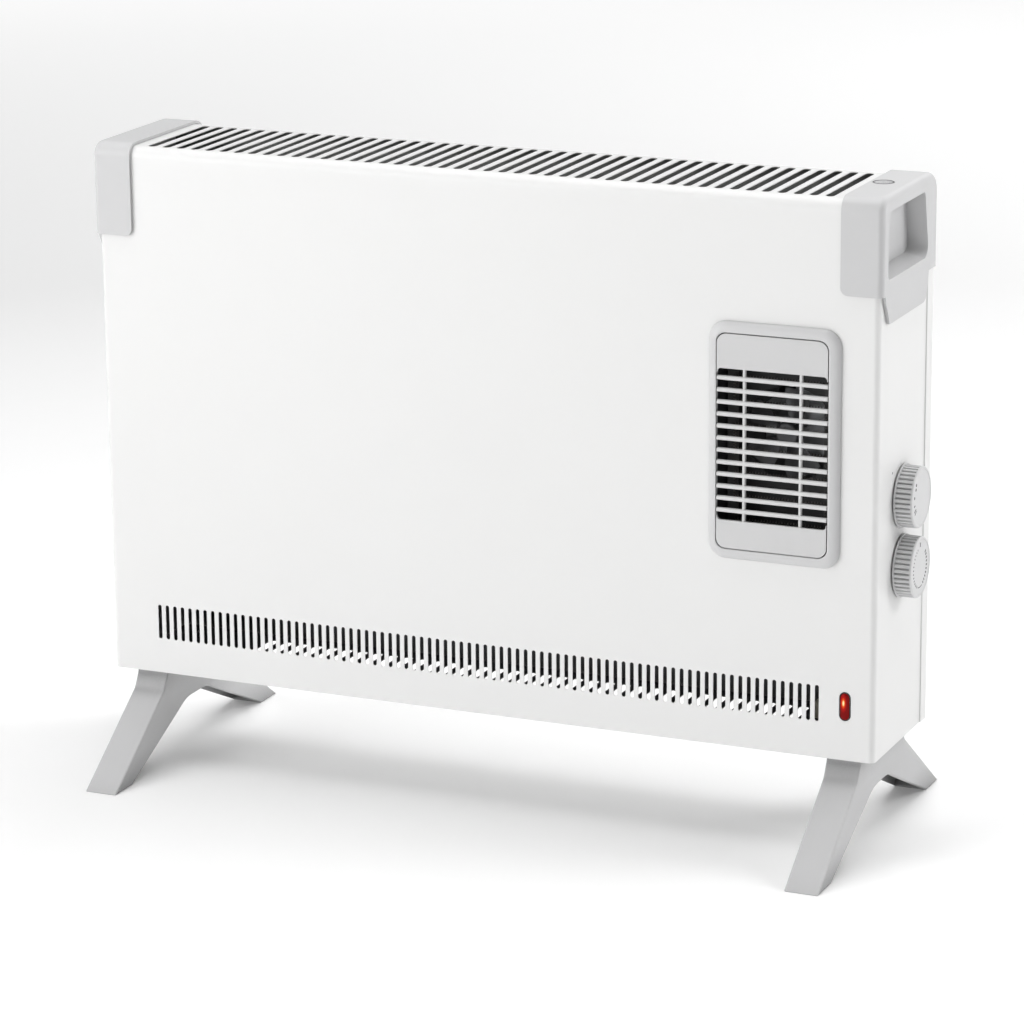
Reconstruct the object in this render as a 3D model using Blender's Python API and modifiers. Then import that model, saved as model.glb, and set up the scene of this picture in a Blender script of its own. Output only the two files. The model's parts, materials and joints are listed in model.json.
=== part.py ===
"""Fan convector heater: folded steel casing on two moulded feet, with end caps, a fan outlet and two knobs.

Frame: metres, +Z up, +X to the right of someone facing the heater, -Y its front. The origin is on the
floor under the middle of the whole object. Lengths below are measured from the casing's own middle in X
and Y and from its bottom edge in Z, and at() turns them into that frame.
"""

import math

import bmesh
import bpy
from mathutils import Matrix, Vector

# Casing
WIDTH, DEPTH, HEIGHT = 0.665, 0.125, 0.440
SHEET = 0.0007
GAP = 0.0003
FRONT, BACK = -DEPTH / 2, DEPTH / 2
PANEL_BACK = BACK - 0.0002
PANEL_FRONT = PANEL_BACK - SHEET
CASING_BACK = PANEL_FRONT - GAP
FRONT_FOLD, BACK_FOLD, SIDE_FOLD = 0.009, 0.014, 0.005
RETURN_FLANGE = 0.012

# Slots
LOW_SLOTS, LOW_SLOT_PITCH, LOW_SLOT_WIDTH = 83, 0.0070, 0.0033
LOW_SLOT_FIRST, LOW_SLOT_Z = -0.2885, (0.0292, 0.0584)
TOP_SLOTS, TOP_SLOT_PITCH, TOP_SLOT_WIDTH = 46, 0.01278, 0.0072
TOP_SLOT_Y = (FRONT + 0.0087, FRONT + 0.1066)
BASE_SLOTS, BASE_SLOT_PITCH, BASE_SLOT_WIDTH, BASE_SLOT_Y = 35, 0.0140, 0.0080, (-0.046, 0.046)
BACK_SLOTS, BACK_SLOT_PITCH = 8, 0.011

# Base plate and feet
BASE_Z = 0.0015
FOOT_HEIGHT, FOOT_INNER, FOOT_OUTER, FOOT_WALL = 0.0814, 0.2896, 0.3179, 0.0025
FOOT_REACH, SOLE = 0.146, 0.029
ARCH_TOP, ARCH_HALF, UNDER_SLOPE = -0.034, 0.034, 0.46
FOOT_SKIN = [(0.0500, BASE_Z - GAP), (0.0510, -0.006), (0.0530, -0.0125), (0.0575, -0.018),
             (FOOT_REACH, -FOOT_HEIGHT + 0.0006)]

# End caps
CAP_INNER, CAP_BOTTOM, CAP_WALL = 0.3015, 0.3675, 0.0024
CAP_OUT = GAP + CAP_WALL
RECESS_DEPTH = 0.0155
TONGUE_BOTTOM = 0.3445
BADGE, BADGE_R = (0.3124, 0.0005), 0.0083

# Fan outlet; the bezel is wider on the right of its opening
FAN_X, FAN_Z, BEZEL_X = 0.2485, 0.2465, 0.2495
BEZEL_SIZE, BEZEL_PROUD, BEZEL_CORNER = (0.1068, 0.1877), 0.0053, 0.014
INSERT_SIZE, INSERT_PROUD = (0.0896, 0.1693), 0.0050
GRILLE_Z, BARS, BAR_HEIGHT = (0.184, 0.304), 12, 0.0035
UPRIGHT_X, UPRIGHT_WIDTH = 0.0229, 0.003
DUCT_DEPTH, IMPELLER_R, BLADES = 0.036, 0.035, 5
DUCT_FRONT = FRONT + SHEET + GAP
DUCT_BACK = DUCT_FRONT + DUCT_DEPTH
MOTOR_FRONT = DUCT_BACK + 0.012
COIL_ROWS, COIL_HALF, COIL_PITCH, COIL_R = 8, 0.038, 0.019, 0.0014

# Neon and controls
NEON_X, NEON_Z, NEON_SIZE = 0.3085, 0.0437, (0.0088, 0.0229)
KNOB_Y, SELECTOR_Z, THERMOSTAT_Z = -0.004, 0.200, 0.144
KNOB_R, KNOB_FACE_R, KNOB_OUT, FLUTES = 0.0252, 0.0243, 0.016, 24
SPINDLE_R = 0.003

# Inside and behind
SHIELD_Y, SHIELD_SHEET = BACK - 0.013, 0.0005
ELEMENT_X, ELEMENT_Z, PIN_R = (-0.280, 0.170), (0.155, 0.105), 0.0035
STRAP = 0.0012
BUSHING, BUSHING_NECK = (0.306, 0.045), 0.0065

# The casing's middle is off the origin because the knobs stick out on one side only
CENTRE_X = -(KNOB_OUT - CAP_OUT) / 2
SIDE = WIDTH / 2

# Screws, and the holes for them
SCREW_R, SCREW_HOLE = 0.0015, 0.0019
BACK_SCREWS = [(side * (SIDE - 0.0065), z) for side in (-1, 1) for z in (0.025, 0.190, 0.345)]
CAP_SCREWS = [(side * (SIDE - 0.0065), z) for side in (-1, 1) for z in (0.385, 0.418)]
FOOT_SCREWS = [(side * (FOOT_INNER + FOOT_OUTER) / 2, y) for side in (-1, 1) for y in (-0.032, 0.032)]

# Colour, roughness and metallic value of each material
WHITE = ((0.86, 0.86, 0.85), 0.42, 0.0)
GREY = ((0.56, 0.57, 0.58), 0.50, 0.0)
PALE = ((0.68, 0.68, 0.69), 0.48, 0.0)
RED = ((0.60, 0.02, 0.01), 0.18, 0.0)
BLACK = ((0.03, 0.03, 0.03), 0.55, 0.0)
ZINC = ((0.60, 0.61, 0.62), 0.38, 0.9)
ALUMINIUM = ((0.55, 0.55, 0.56), 0.45, 0.9)
MICA = ((0.45, 0.40, 0.33), 0.70, 0.0)
WIRE = ((0.35, 0.34, 0.33), 0.50, 0.9)
CREAM = ((0.75, 0.72, 0.62), 0.55, 0.0)

# Turns a flat outline so that its extrusion runs along an axis
AXES = {
    "X": Matrix(((0, 0, 1), (1, 0, 0), (0, 1, 0))).to_4x4(),
    "Y": Matrix(((1, 0, 0), (0, 0, -1), (0, 1, 0))).to_4x4(),
    "Z": Matrix.Identity(4),
}


def at(x, y, z):
    """A point of the heater: x and y from the casing's middle, z from its bottom edge."""
    return Vector((x + CENTRE_X, y, z + FOOT_HEIGHT))


# ---------------------------------------------------------------- scene

def clear_scene():
    for obj in list(bpy.data.objects):
        bpy.data.objects.remove(obj)


def new_collection(name):
    collection = bpy.data.collections.new(name)
    bpy.context.scene.collection.children.link(collection)
    return collection


def material(node, look):
    colour, roughness, metallic = look
    mat = bpy.data.materials.new(node)
    mat.use_nodes = True
    shader = mat.node_tree.nodes["Principled BSDF"]
    shader.inputs["Base Color"].default_value = (*colour, 1)
    shader.inputs["Roughness"].default_value = roughness
    shader.inputs["Metallic"].default_value = metallic
    return mat


def add_object(name, bm, collection, origin=(0, 0, 0)):
    """A mesh object whose origin is at a point given in the part's frame."""
    bmesh.ops.translate(bm, vec=-Vector(origin), verts=bm.verts)
    bmesh.ops.recalc_face_normals(bm, faces=bm.faces)
    mesh = bpy.data.meshes.new(name)
    bm.to_mesh(mesh)
    bm.free()
    obj = bpy.data.objects.new(name, mesh)
    obj.location = origin
    collection.objects.link(obj)
    return obj


def piece(name, bm, look, origin=(0, 0, 0), smooth=None):
    obj = add_object(name, bm, PARTS, origin)
    obj.data.materials.append(material(name, look))
    if smooth:
        obj.data.shade_smooth()
        obj.data.set_sharp_from_angle(angle=math.radians(smooth))
    return obj


def boolean(obj, name, bm, operation="DIFFERENCE"):
    """Cut the shape from the object, or join it to it, with a Boolean and a helper in the cutters."""
    tool = add_object(f"{obj.name}_{name}", bm, CUTTERS)
    tool.hide_render = True
    tool.display_type = "WIRE"
    modifier = obj.modifiers.new(name, "BOOLEAN")
    modifier.object = tool
    modifier.operation = operation
    modifier.solver = "EXACT"


def solidify(obj, thickness, offset=-1):
    modifier = obj.modifiers.new("sheet", "SOLIDIFY")
    modifier.thickness = thickness
    modifier.offset = offset
    modifier.use_even_offset = True


# ---------------------------------------------------------------- shapes

def box(low, high):
    """A box between two corners given as points for at()."""
    low, high = at(*low), at(*high)
    size, middle = high - low, (low + high) / 2
    bm = bmesh.new()
    bmesh.ops.create_cube(bm, size=1, matrix=Matrix.Translation(middle) @ Matrix.Diagonal((*size, 1)))
    return bm


def round_edges(bm, chosen, radius, segments):
    edges = [edge for edge in bm.edges if chosen(*(vert.co for vert in edge.verts))]
    bmesh.ops.bevel(bm, geom=edges, offset=radius, segments=segments, profile=0.5, affect="EDGES")


def along(axis, a, b):
    """Whether an edge from a to b runs along an axis."""
    return all(abs(a[i] - b[i]) < 1e-6 for i in range(3) if i != axis)


def slot_boxes(centres, half_size, through, chamfer=True):
    """Long slots, one box for each centre, with the edges along the through axis chamfered if asked."""
    bm = bmesh.new()
    for centre in centres:
        matrix = Matrix.Translation(at(*centre)) @ Matrix.Diagonal((*[2 * h for h in half_size], 1))
        bmesh.ops.create_cube(bm, size=1, matrix=matrix)
    if chamfer:
        width = 2 * min(h for i, h in enumerate(half_size) if i != through)
        round_edges(bm, lambda a, b: along(through, a, b), width * 0.29, 1)
    return bm


def cylinder(centre, radius, length, axis, sides=20, tip_radius=None):
    """A cylinder or cone about an axis, running from the centre along the axis by its length."""
    bm = bmesh.new()
    turn = {"X": Matrix.Rotation(math.pi / 2, 4, "Y"), "Y": Matrix.Rotation(-math.pi / 2, 4, "X")}
    matrix = Matrix.Translation(at(*centre)) @ turn.get(axis, Matrix.Identity(4))
    matrix = matrix @ Matrix.Translation((0, 0, length / 2))
    bmesh.ops.create_cone(bm, cap_ends=True, segments=sides, radius1=radius,
                          radius2=radius if tip_radius is None else tip_radius, depth=length, matrix=matrix)
    return bm


def prism(outline, axis, low, high):
    """A flat outline extruded along an axis: outline in (Y, Z) for X, in (X, Z) for Y, in (X, Y) for Z."""
    curve = bpy.data.curves.new("outline", "CURVE")
    curve.dimensions = "2D"
    curve.fill_mode = "BOTH"
    curve.extrude = abs(high - low) / 2
    spline = curve.splines.new("POLY")
    spline.points.add(len(outline) - 1)
    for point, (u, v) in zip(spline.points, outline):
        point.co = (u, v, 0, 1)
    spline.use_cyclic_u = True
    guide = bpy.data.objects.new("outline", curve)
    bpy.context.scene.collection.objects.link(guide)
    graph = bpy.context.evaluated_depsgraph_get()
    mesh = bpy.data.meshes.new_from_object(guide.evaluated_get(graph))
    bpy.data.objects.remove(guide)
    bm = bmesh.new()
    bm.from_mesh(mesh)
    bmesh.ops.remove_doubles(bm, verts=bm.verts, dist=1e-6)
    bmesh.ops.dissolve_limit(bm, angle_limit=0.001, verts=bm.verts, edges=bm.edges)
    middle = (low + high) / 2
    shift = at(*{"X": (middle, 0, 0), "Y": (0, middle, 0), "Z": (0, 0, middle)}[axis])
    bmesh.ops.transform(bm, matrix=Matrix.Translation(shift) @ AXES[axis], verts=bm.verts)
    return bm


def arc(centre, radius, start, end, steps):
    """Points of an arc, in degrees from the first axis."""
    angles = [math.radians(start + (end - start) * i / steps) for i in range(steps + 1)]
    return [(centre[0] + radius * math.cos(a), centre[1] + radius * math.sin(a)) for a in angles]


def rounded_rectangle(centre, size, radius, steps=3):
    points = []
    for sx, sy, start in ((1, -1, -90), (1, 1, 0), (-1, 1, 90), (-1, -1, 180)):
        corner = (centre[0] + sx * (size[0] / 2 - radius), centre[1] + sy * (size[1] / 2 - radius))
        points += arc(corner, radius, start, start + 90, steps)
    return points


def merge(*shapes):
    """One mesh holding several separate shapes, for a cutter that makes many holes."""
    whole = bmesh.new()
    for shape in shapes:
        mesh = bpy.data.meshes.new("shape")
        shape.to_mesh(mesh)
        shape.free()
        whole.from_mesh(mesh)
        bpy.data.meshes.remove(mesh)
    return whole


# ---------------------------------------------------------------- screws

def screw(name, centre, axis, length):
    """A pan head screw: its head's inner face is at the centre, and its shank goes back from there."""
    head = cylinder(centre, 0.0034, 0.0022, axis, 12, 0.0026)
    obj = piece(name, head, ZINC, smooth=30)
    start = [c - (length if "XYZ"[i] == axis else 0) for i, c in enumerate(centre)]
    boolean(obj, "shank", cylinder(start, SCREW_R, length + 0.001, axis, 10), "UNION")


def screws():
    for i, (x, z) in enumerate(BACK_SCREWS):
        screw(f"back_screw_{i + 1}", (x, PANEL_BACK + GAP, z), "Y", 0.007)
    for i, (x, z) in enumerate(CAP_SCREWS):
        screw(f"cap_screw_{i + 1}", (x, BACK + GAP * 2 + CAP_WALL, z), "Y", 0.008)


# ---------------------------------------------------------------- sheet metal

def front_casing():
    bm = box((-SIDE, FRONT, 0), (SIDE, CASING_BACK, HEIGHT))
    top, bottom = at(0, 0, HEIGHT).z, at(0, 0, 0).z
    ends = [at(-SIDE, 0, 0).x, at(SIDE, 0, 0).x]

    def on(value, wanted):
        return abs(value - wanted) < 1e-6

    round_edges(bm, lambda a, b: on(a.y, FRONT) and on(b.y, FRONT) and on(a.z, top) and on(b.z, top),
                FRONT_FOLD, 3)
    round_edges(bm, lambda a, b: on(a.y, CASING_BACK) and on(b.y, CASING_BACK) and on(a.z, top)
                and on(b.z, top), BACK_FOLD, 3)
    round_edges(bm, lambda a, b: any(on(a.x, e) and on(b.x, e) for e in ends)
                and not (on(a.z, bottom) and on(b.z, bottom))
                and not (on(a.y, CASING_BACK) and on(b.y, CASING_BACK)), SIDE_FOLD, 2)
    bmesh.ops.delete(bm, geom=[f for f in bm.faces if f.normal.z < -0.99], context="FACES_ONLY")
    casing = piece("front_casing", bm, WHITE, smooth=35)
    solidify(casing, SHEET)

    inside = SIDE - RETURN_FLANGE
    boolean(casing, "back_opening",
            box((-inside, CASING_BACK - 0.004, -0.01), (inside, BACK + 0.01, HEIGHT - BACK_FOLD - 0.012)))
    low = [(LOW_SLOT_FIRST + i * LOW_SLOT_PITCH, FRONT, sum(LOW_SLOT_Z) / 2) for i in range(LOW_SLOTS)]
    low_half = (LOW_SLOT_WIDTH / 2, 0.004, (LOW_SLOT_Z[1] - LOW_SLOT_Z[0]) / 2)
    boolean(casing, "low_slots", slot_boxes(low, low_half, 1, chamfer=False))
    tops = [((i - (TOP_SLOTS - 1) / 2) * TOP_SLOT_PITCH, sum(TOP_SLOT_Y) / 2, HEIGHT)
            for i in range(TOP_SLOTS)]
    top_half = (TOP_SLOT_WIDTH / 2, (TOP_SLOT_Y[1] - TOP_SLOT_Y[0]) / 2, 0.004)
    boolean(casing, "top_slots", slot_boxes(tops, top_half, 2))
    front_holes = merge(
        prism(rounded_rectangle((FAN_X, FAN_Z), (INSERT_SIZE[0] + 0.004, INSERT_SIZE[1] + 0.004), 0.008),
              "Y", FRONT - 0.003, FRONT + 0.003),
        prism(rounded_rectangle((NEON_X, NEON_Z), [s + 2 * GAP for s in NEON_SIZE], NEON_SIZE[0] / 2, 4),
              "Y", FRONT - 0.003, FRONT + 0.003))
    boolean(casing, "front_holes", front_holes)
    spindles = [cylinder((SIDE - 0.004, KNOB_Y, z), 0.005, 0.008, "X") for z in (SELECTOR_Z, THERMOSTAT_Z)]
    recesses = [box((side * (SIDE - 0.003), -0.0565, 0.3752), (side * (SIDE + 0.003), 0.0455, 0.4342))
                for side in (-1, 1)]
    boolean(casing, "side_holes", merge(*spindles, *recesses))
    boolean(casing, "screw_holes", merge(*[cylinder((x, CASING_BACK - 0.003, z), SCREW_HOLE, 0.006, "Y", 10)
                                           for x, z in BACK_SCREWS + CAP_SCREWS]))


def back_panel():
    """A tray: the plate closes the casing's back and its side flanges lie outside the casing's sides."""
    outside = SIDE + GAP + SHEET
    bm = box((-outside, BACK - 0.014, 0.0), (outside, PANEL_BACK, CAP_BOTTOM - 0.004))
    open_faces = [f for f in bm.faces if abs(f.normal.z) > 0.9 or f.normal.y < -0.9]
    bmesh.ops.delete(bm, geom=open_faces, context="FACES_ONLY")
    panel = piece("back_panel", bm, WHITE)
    solidify(panel, SHEET)
    boolean(panel, "upper_plate", box((-SIDE + 0.002, PANEL_FRONT, CAP_BOTTOM - 0.010),
                                      (SIDE - 0.002, PANEL_BACK, HEIGHT - BACK_FOLD - 0.002)), "UNION")
    first = FAN_Z - (BACK_SLOTS - 1) / 2 * BACK_SLOT_PITCH
    intake = [(FAN_X, BACK, first + i * BACK_SLOT_PITCH) for i in range(BACK_SLOTS)]
    boolean(panel, "intake", slot_boxes(intake, (0.034, 0.004, 0.002), 1))
    holes = [cylinder((x, BACK - 0.004, z), SCREW_HOLE, 0.008, "Y", 10) for x, z in BACK_SCREWS + CAP_SCREWS]
    inlet = cylinder((BUSHING[0], BACK - 0.004, BUSHING[1]), BUSHING_NECK + GAP, 0.008, "Y", 16)
    boolean(panel, "holes", merge(*holes, inlet))


def base_plate():
    """A flat sheet between the sides: slotted in the middle, plain over the feet."""
    half = SIDE - SHEET - GAP
    bm = box((-half, FRONT + SHEET + GAP, BASE_Z), (half, CASING_BACK - SHEET - GAP, BASE_Z + SHEET))
    round_edges(bm, lambda a, b: along(2, a, b), SIDE_FOLD, 2)
    plate = piece("base_plate", bm, WHITE)
    slots = [((i - (BASE_SLOTS - 1) / 2) * BASE_SLOT_PITCH, sum(BASE_SLOT_Y) / 2, BASE_Z)
             for i in range(BASE_SLOTS)]
    half_size = (BASE_SLOT_WIDTH / 2, (BASE_SLOT_Y[1] - BASE_SLOT_Y[0]) / 2, 0.004)
    boolean(plate, "slots", slot_boxes(slots, half_size, 2, chamfer=False))
    boolean(plate, "holes", merge(*[cylinder((x, y, BASE_Z - 0.003), SCREW_HOLE, 0.008, "Z", 10)
                                    for x, y in FOOT_SCREWS]))


def heat_shield():
    """A channel whose flanges stand it off the back panel."""
    y, back, t = SHIELD_Y, PANEL_FRONT - GAP, SHIELD_SHEET
    low, high = 0.024, HEIGHT - BACK_FOLD - 0.014
    outline = [(y, low), (back, low), (back, low + t), (y + t, low + t), (y + t, high - t),
               (back, high - t), (back, high), (y, high)]
    shield = piece("heat_shield", prism(outline, "X", -0.292, 0.292), ZINC)
    boolean(shield, "fan_air", cylinder((FAN_X, y - 0.002, FAN_Z), 0.040, 0.006, "Y", 24))


# ---------------------------------------------------------------- mouldings

def end_cap(name, side):
    """A hood over the casing's upper corner, with a hand recess and a tongue down the casing's side."""
    bm = box((side * CAP_INNER, FRONT - CAP_OUT, CAP_BOTTOM),
             (side * (SIDE + CAP_OUT), BACK + CAP_OUT, HEIGHT + CAP_OUT))
    top = at(0, 0, HEIGHT + CAP_OUT).z
    outer = at(side * (SIDE + CAP_OUT), 0, 0).x

    def both(axis, value):
        return lambda a, b: abs(a[axis] - value) < 1e-6 and abs(b[axis] - value) < 1e-6

    on_top, on_outer = both(2, top), both(0, outer)
    on_back, on_front = both(1, BACK + CAP_OUT), both(1, FRONT - CAP_OUT)
    round_edges(bm, lambda a, b: on_top(a, b) and on_back(a, b), 0.016, 3)
    round_edges(bm, lambda a, b: on_top(a, b) and on_front(a, b), FRONT_FOLD + 0.002, 3)
    bottom = at(0, 0, CAP_BOTTOM).z
    round_edges(bm, lambda a, b: on_outer(a, b) and not both(2, bottom)(a, b), 0.007, 3)
    cap = piece(name, bm, GREY, smooth=35)

    boolean(cap, "hood", cap_hollow(side))
    sides = sorted((side * (SIDE + CAP_OUT - RECESS_DEPTH - 0.002), side * (SIDE + CAP_OUT - 0.0012)))
    boolean(cap, "pocket", box((sides[0], -0.0555, 0.3762), (sides[1], 0.0445, 0.4332)), "UNION")
    tongue = [(-0.0600, CAP_BOTTOM + 0.003), (-0.0575, CAP_BOTTOM - 0.004), (-0.0520, 0.3535),
              (-0.0490, 0.3470), (-0.0440, TONGUE_BOTTOM), (0.0290, TONGUE_BOTTOM),
              (0.0370, 0.3462), (0.0420, 0.3510), (0.0445, 0.3600), (0.0455, CAP_BOTTOM + 0.003)]
    sides = sorted((side * (SIDE + GAP), side * (SIDE + CAP_OUT)))
    boolean(cap, "tongue", prism(tongue, "X", *sides), "UNION")
    mouth = [(-0.053, 0.3855), (-0.051, 0.3805), (-0.046, 0.379), (0.031, 0.379), (0.039, 0.3815),
             (0.0418, 0.3875), (0.0335, 0.4285), (0.030, 0.431), (-0.044, 0.431), (-0.0505, 0.4285),
             (-0.053, 0.423)]
    sides = sorted((side * (SIDE + CAP_OUT - RECESS_DEPTH), side * (SIDE + 0.01)))
    boolean(cap, "recess", prism(mouth, "X", *sides))
    holes = [cylinder((x, BACK - 0.002, z), SCREW_HOLE, 0.008, "Y", 10)
             for x, z in CAP_SCREWS if x * side > 0]
    boolean(cap, "holes", merge(*holes))
    if side > 0:
        seat = cylinder((*BADGE, HEIGHT + CAP_OUT - 0.0010), BADGE_R + GAP, 0.01, "Z", 24)
        boolean(cap, "badge_seat", seat)


def cap_hollow(side):
    """The room for the casing inside a cap."""
    bm = box((side * 0.25, FRONT - GAP, 0.30), (side * (SIDE + GAP), BACK + GAP, HEIGHT + GAP))
    top = at(0, 0, HEIGHT + GAP).z

    def top_edge(y):
        return lambda a, b: all(abs(p.z - top) < 1e-6 and abs(p.y - y) < 1e-6 for p in (a, b))

    round_edges(bm, top_edge(BACK + GAP), 0.0135, 3)
    round_edges(bm, top_edge(FRONT - GAP), FRONT_FOLD - 0.0005, 3)
    return bm


def cap_badge():
    """A plain disc with a raised rim, let into the right cap's top."""
    top = HEIGHT + CAP_OUT
    badge = piece("cap_badge", cylinder((*BADGE, top - 0.0007), BADGE_R, 0.0009, "Z", 24), PALE)
    boolean(badge, "dish", cylinder((*BADGE, top - 0.0002), BADGE_R - 0.0015, 0.0030, "Z", 24))


def foot_outline():
    """The foot seen from the side, in (Y, Z) from the casing's middle and bottom edge."""
    under_y = FOOT_REACH - SOLE
    under = [(FOOT_REACH - 0.0006, -FOOT_HEIGHT), (under_y, -FOOT_HEIGHT),
             (ARCH_HALF, -FOOT_HEIGHT + UNDER_SLOPE * (under_y - ARCH_HALF)),
             (ARCH_HALF * 0.55, ARCH_TOP - 0.0016)]
    half = FOOT_SKIN + under
    return half + [(-y, z) for y, z in reversed(half)]


def foot(name, side):
    """A hollow channel, open below: two side walls, a sloping skin, closed soles and cross ribs."""
    bm = prism(foot_outline(), "X", *sorted((side * FOOT_INNER, side * FOOT_OUTER)))

    def on_skin(point):
        return any(math.dist((abs(point.y), point.z - FOOT_HEIGHT), corner) < 1e-6 for corner in FOOT_SKIN)

    round_edges(bm, lambda a, b: on_skin(a) and on_skin(b) and abs(a.x - b.x) < 1e-6
                and abs(a.z - b.z) > 1e-4, 0.0022, 2)
    obj = piece(name, bm, GREY, smooth=35)

    wall = FOOT_WALL
    lean = wall / math.cos(math.atan(0.72))
    under_y = FOOT_REACH - SOLE
    hollow = [(0.0475, BASE_Z - 0.0032), (0.0490, -0.0150), (0.0540, -0.0180 - lean + 0.001),
              (under_y + 0.004, -0.0180 - lean - 0.715 * (under_y + 0.004 - 0.0565)),
              (under_y - 0.006, -FOOT_HEIGHT + 0.004), (under_y - 0.012, -FOOT_HEIGHT - 0.005)]
    hollow += [(-y, z) for y, z in reversed(hollow)]
    inner = sorted((side * (FOOT_INNER + wall), side * (FOOT_OUTER - wall)))
    boolean(obj, "hollow", prism(hollow, "X", *inner))
    ribs = [box((inner[0] - 0.001, y - 0.001, -0.026), (inner[1] + 0.001, y + 0.001, BASE_Z - 0.002))
            for y in (-0.016, 0.016)]
    boolean(obj, "ribs", merge(*ribs), "UNION")
    holes = [cylinder((x, y, -0.006), SCREW_HOLE, 0.012, "Z", 10) for x, y in FOOT_SCREWS if x * side > 0]
    boolean(obj, "holes", merge(*holes))


def feet():
    foot("foot_left", -1)
    foot("foot_right", 1)
    for i, (x, y) in enumerate(FOOT_SCREWS):
        name = f"foot_screw_{i + 1}"
        z = BASE_Z - 0.0032 - GAP
        head = cylinder((x, y, z - 0.0022), 0.0026, 0.0022, "Z", 12, 0.0034)
        obj = piece(name, head, ZINC, smooth=30)
        boolean(obj, "shank", cylinder((x, y, z - 0.001), SCREW_R, 0.010, "Z", 10), "UNION")


# ---------------------------------------------------------------- fan outlet

def fan_bezel():
    """A raised frame with soft outer edges, standing on the casing's front."""
    outline = rounded_rectangle((BEZEL_X, FAN_Z), BEZEL_SIZE, BEZEL_CORNER, 4)
    bm = prism(outline, "Y", FRONT - BEZEL_PROUD, FRONT - GAP)
    face = [e for e in bm.edges if all(v.co.y < FRONT - BEZEL_PROUD + 1e-6 for v in e.verts)]
    bmesh.ops.bevel(bm, geom=face, offset=0.0035, segments=2, profile=0.5, affect="EDGES")
    bezel = piece("fan_bezel", bm, GREY, smooth=35)
    opening = rounded_rectangle((FAN_X, FAN_Z), [s + 2 * GAP for s in INSERT_SIZE], 0.008)
    boolean(bezel, "opening", prism(opening, "Y", FRONT - 0.01, FRONT + 0.01))


def fan_grille():
    """Two plates with bars between them, all carried by two uprights behind."""
    front, back = FRONT - INSERT_PROUD, FRONT - INSERT_PROUD + 0.0024
    outline = rounded_rectangle((FAN_X, FAN_Z), INSERT_SIZE, 0.0077)
    plate = piece("fan_grille", prism(outline, "Y", front, back), PALE)
    half = INSERT_SIZE[0] / 2 + 0.002
    opening = GRILLE_Z[1] - GRILLE_Z[0]
    gap = (opening - BARS * BAR_HEIGHT) / (BARS + 1)
    gaps = bmesh.new()
    for i in range(BARS + 1):
        z = GRILLE_Z[0] + i * (gap + BAR_HEIGHT)
        gaps = merge(gaps, box((FAN_X - half, front - 0.002, z), (FAN_X + half, back + 0.002, z + gap)))
    uprights = [box((FAN_X + s * UPRIGHT_X - UPRIGHT_WIDTH / 2, front + 0.0006, GRILLE_Z[0] - 0.006),
                    (FAN_X + s * UPRIGHT_X + UPRIGHT_WIDTH / 2, back + 0.0012, GRILLE_Z[1] + 0.006))
                for s in (-1, 1)]
    boolean(plate, "gaps", gaps)
    boolean(plate, "uprights", merge(*uprights), "UNION")


def fan_duct():
    """An open-fronted box behind the grille with a round outlet ring in its back wall."""
    half_x, half_z = INSERT_SIZE[0] / 2 + 0.0035, INSERT_SIZE[1] / 2 + 0.0035
    wall = 0.0014
    duct = piece("fan_duct", box((FAN_X - half_x, DUCT_FRONT, FAN_Z - half_z),
                                 (FAN_X + half_x, DUCT_BACK, FAN_Z + half_z)), BLACK)
    boolean(duct, "inside", box((FAN_X - half_x + wall, DUCT_FRONT - 0.01, FAN_Z - half_z + wall),
                                (FAN_X + half_x - wall, DUCT_BACK - wall, FAN_Z + half_z - wall)))
    boolean(duct, "throat", cylinder((FAN_X, DUCT_BACK - 0.01, FAN_Z), IMPELLER_R + 0.003, 0.02, "Y", 32))


def fan():
    """Impeller and shaft turn together about an axis along Y; the motor hangs in a strap behind."""
    axis_point = at(FAN_X, DUCT_BACK, FAN_Z)
    hub_front, hub_length = DUCT_BACK - 0.009, 0.012
    hub = cylinder((FAN_X, hub_front, FAN_Z), 0.010, hub_length, "Y", 20)
    impeller = piece("fan_impeller", hub, ALUMINIUM, origin=axis_point, smooth=30)
    blade = bmesh.new()
    middle = at(FAN_X, hub_front + hub_length / 2, FAN_Z)
    for i in range(BLADES):
        spin = Matrix.Rotation(2 * math.pi * i / BLADES, 4, "Y")
        pitch = Matrix.Rotation(math.radians(28), 4, "Z")
        reach = Matrix.Translation((0, 0, (IMPELLER_R + 0.008) / 2)) @ pitch
        size = Matrix.Diagonal((0.020, 0.0010, IMPELLER_R - 0.008, 1))
        bmesh.ops.create_cube(blade, size=1, matrix=Matrix.Translation(middle) @ spin @ reach @ size)
    boolean(impeller, "blades", blade, "UNION")
    boolean(impeller, "bore", cylinder((FAN_X, hub_front + 0.003, FAN_Z), 0.0023, 0.02, "Y", 14))
    piece("motor_shaft", cylinder((FAN_X, hub_front + 0.0035, FAN_Z), 0.0020, 0.0235, "Y", 14), ZINC,
          origin=axis_point, smooth=30)

    motor = piece("fan_motor", box((FAN_X - 0.024, MOTOR_FRONT, FAN_Z - 0.020),
                                   (FAN_X + 0.024, MOTOR_FRONT + 0.022, FAN_Z + 0.020)), ZINC)
    boolean(motor, "bore", cylinder((FAN_X, MOTOR_FRONT - 0.002, FAN_Z), 0.0023, 0.012, "Y", 14))

    near, far, half, foot_end = DUCT_BACK + GAP, MOTOR_FRONT + 0.022 + GAP, 0.052, 0.062
    inner = [(near, -foot_end), (near, -half), (far, -half), (far, half), (near, half), (near, foot_end)]
    outer = [(y + STRAP, z + math.copysign(STRAP, z) * (abs(z) == half)) for y, z in reversed(inner)]
    outline = [(y, z + FAN_Z) for y, z in inner + outer]
    piece("motor_bracket", prism(outline, "X", FAN_X - 0.008, FAN_X + 0.008), ZINC)


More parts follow.
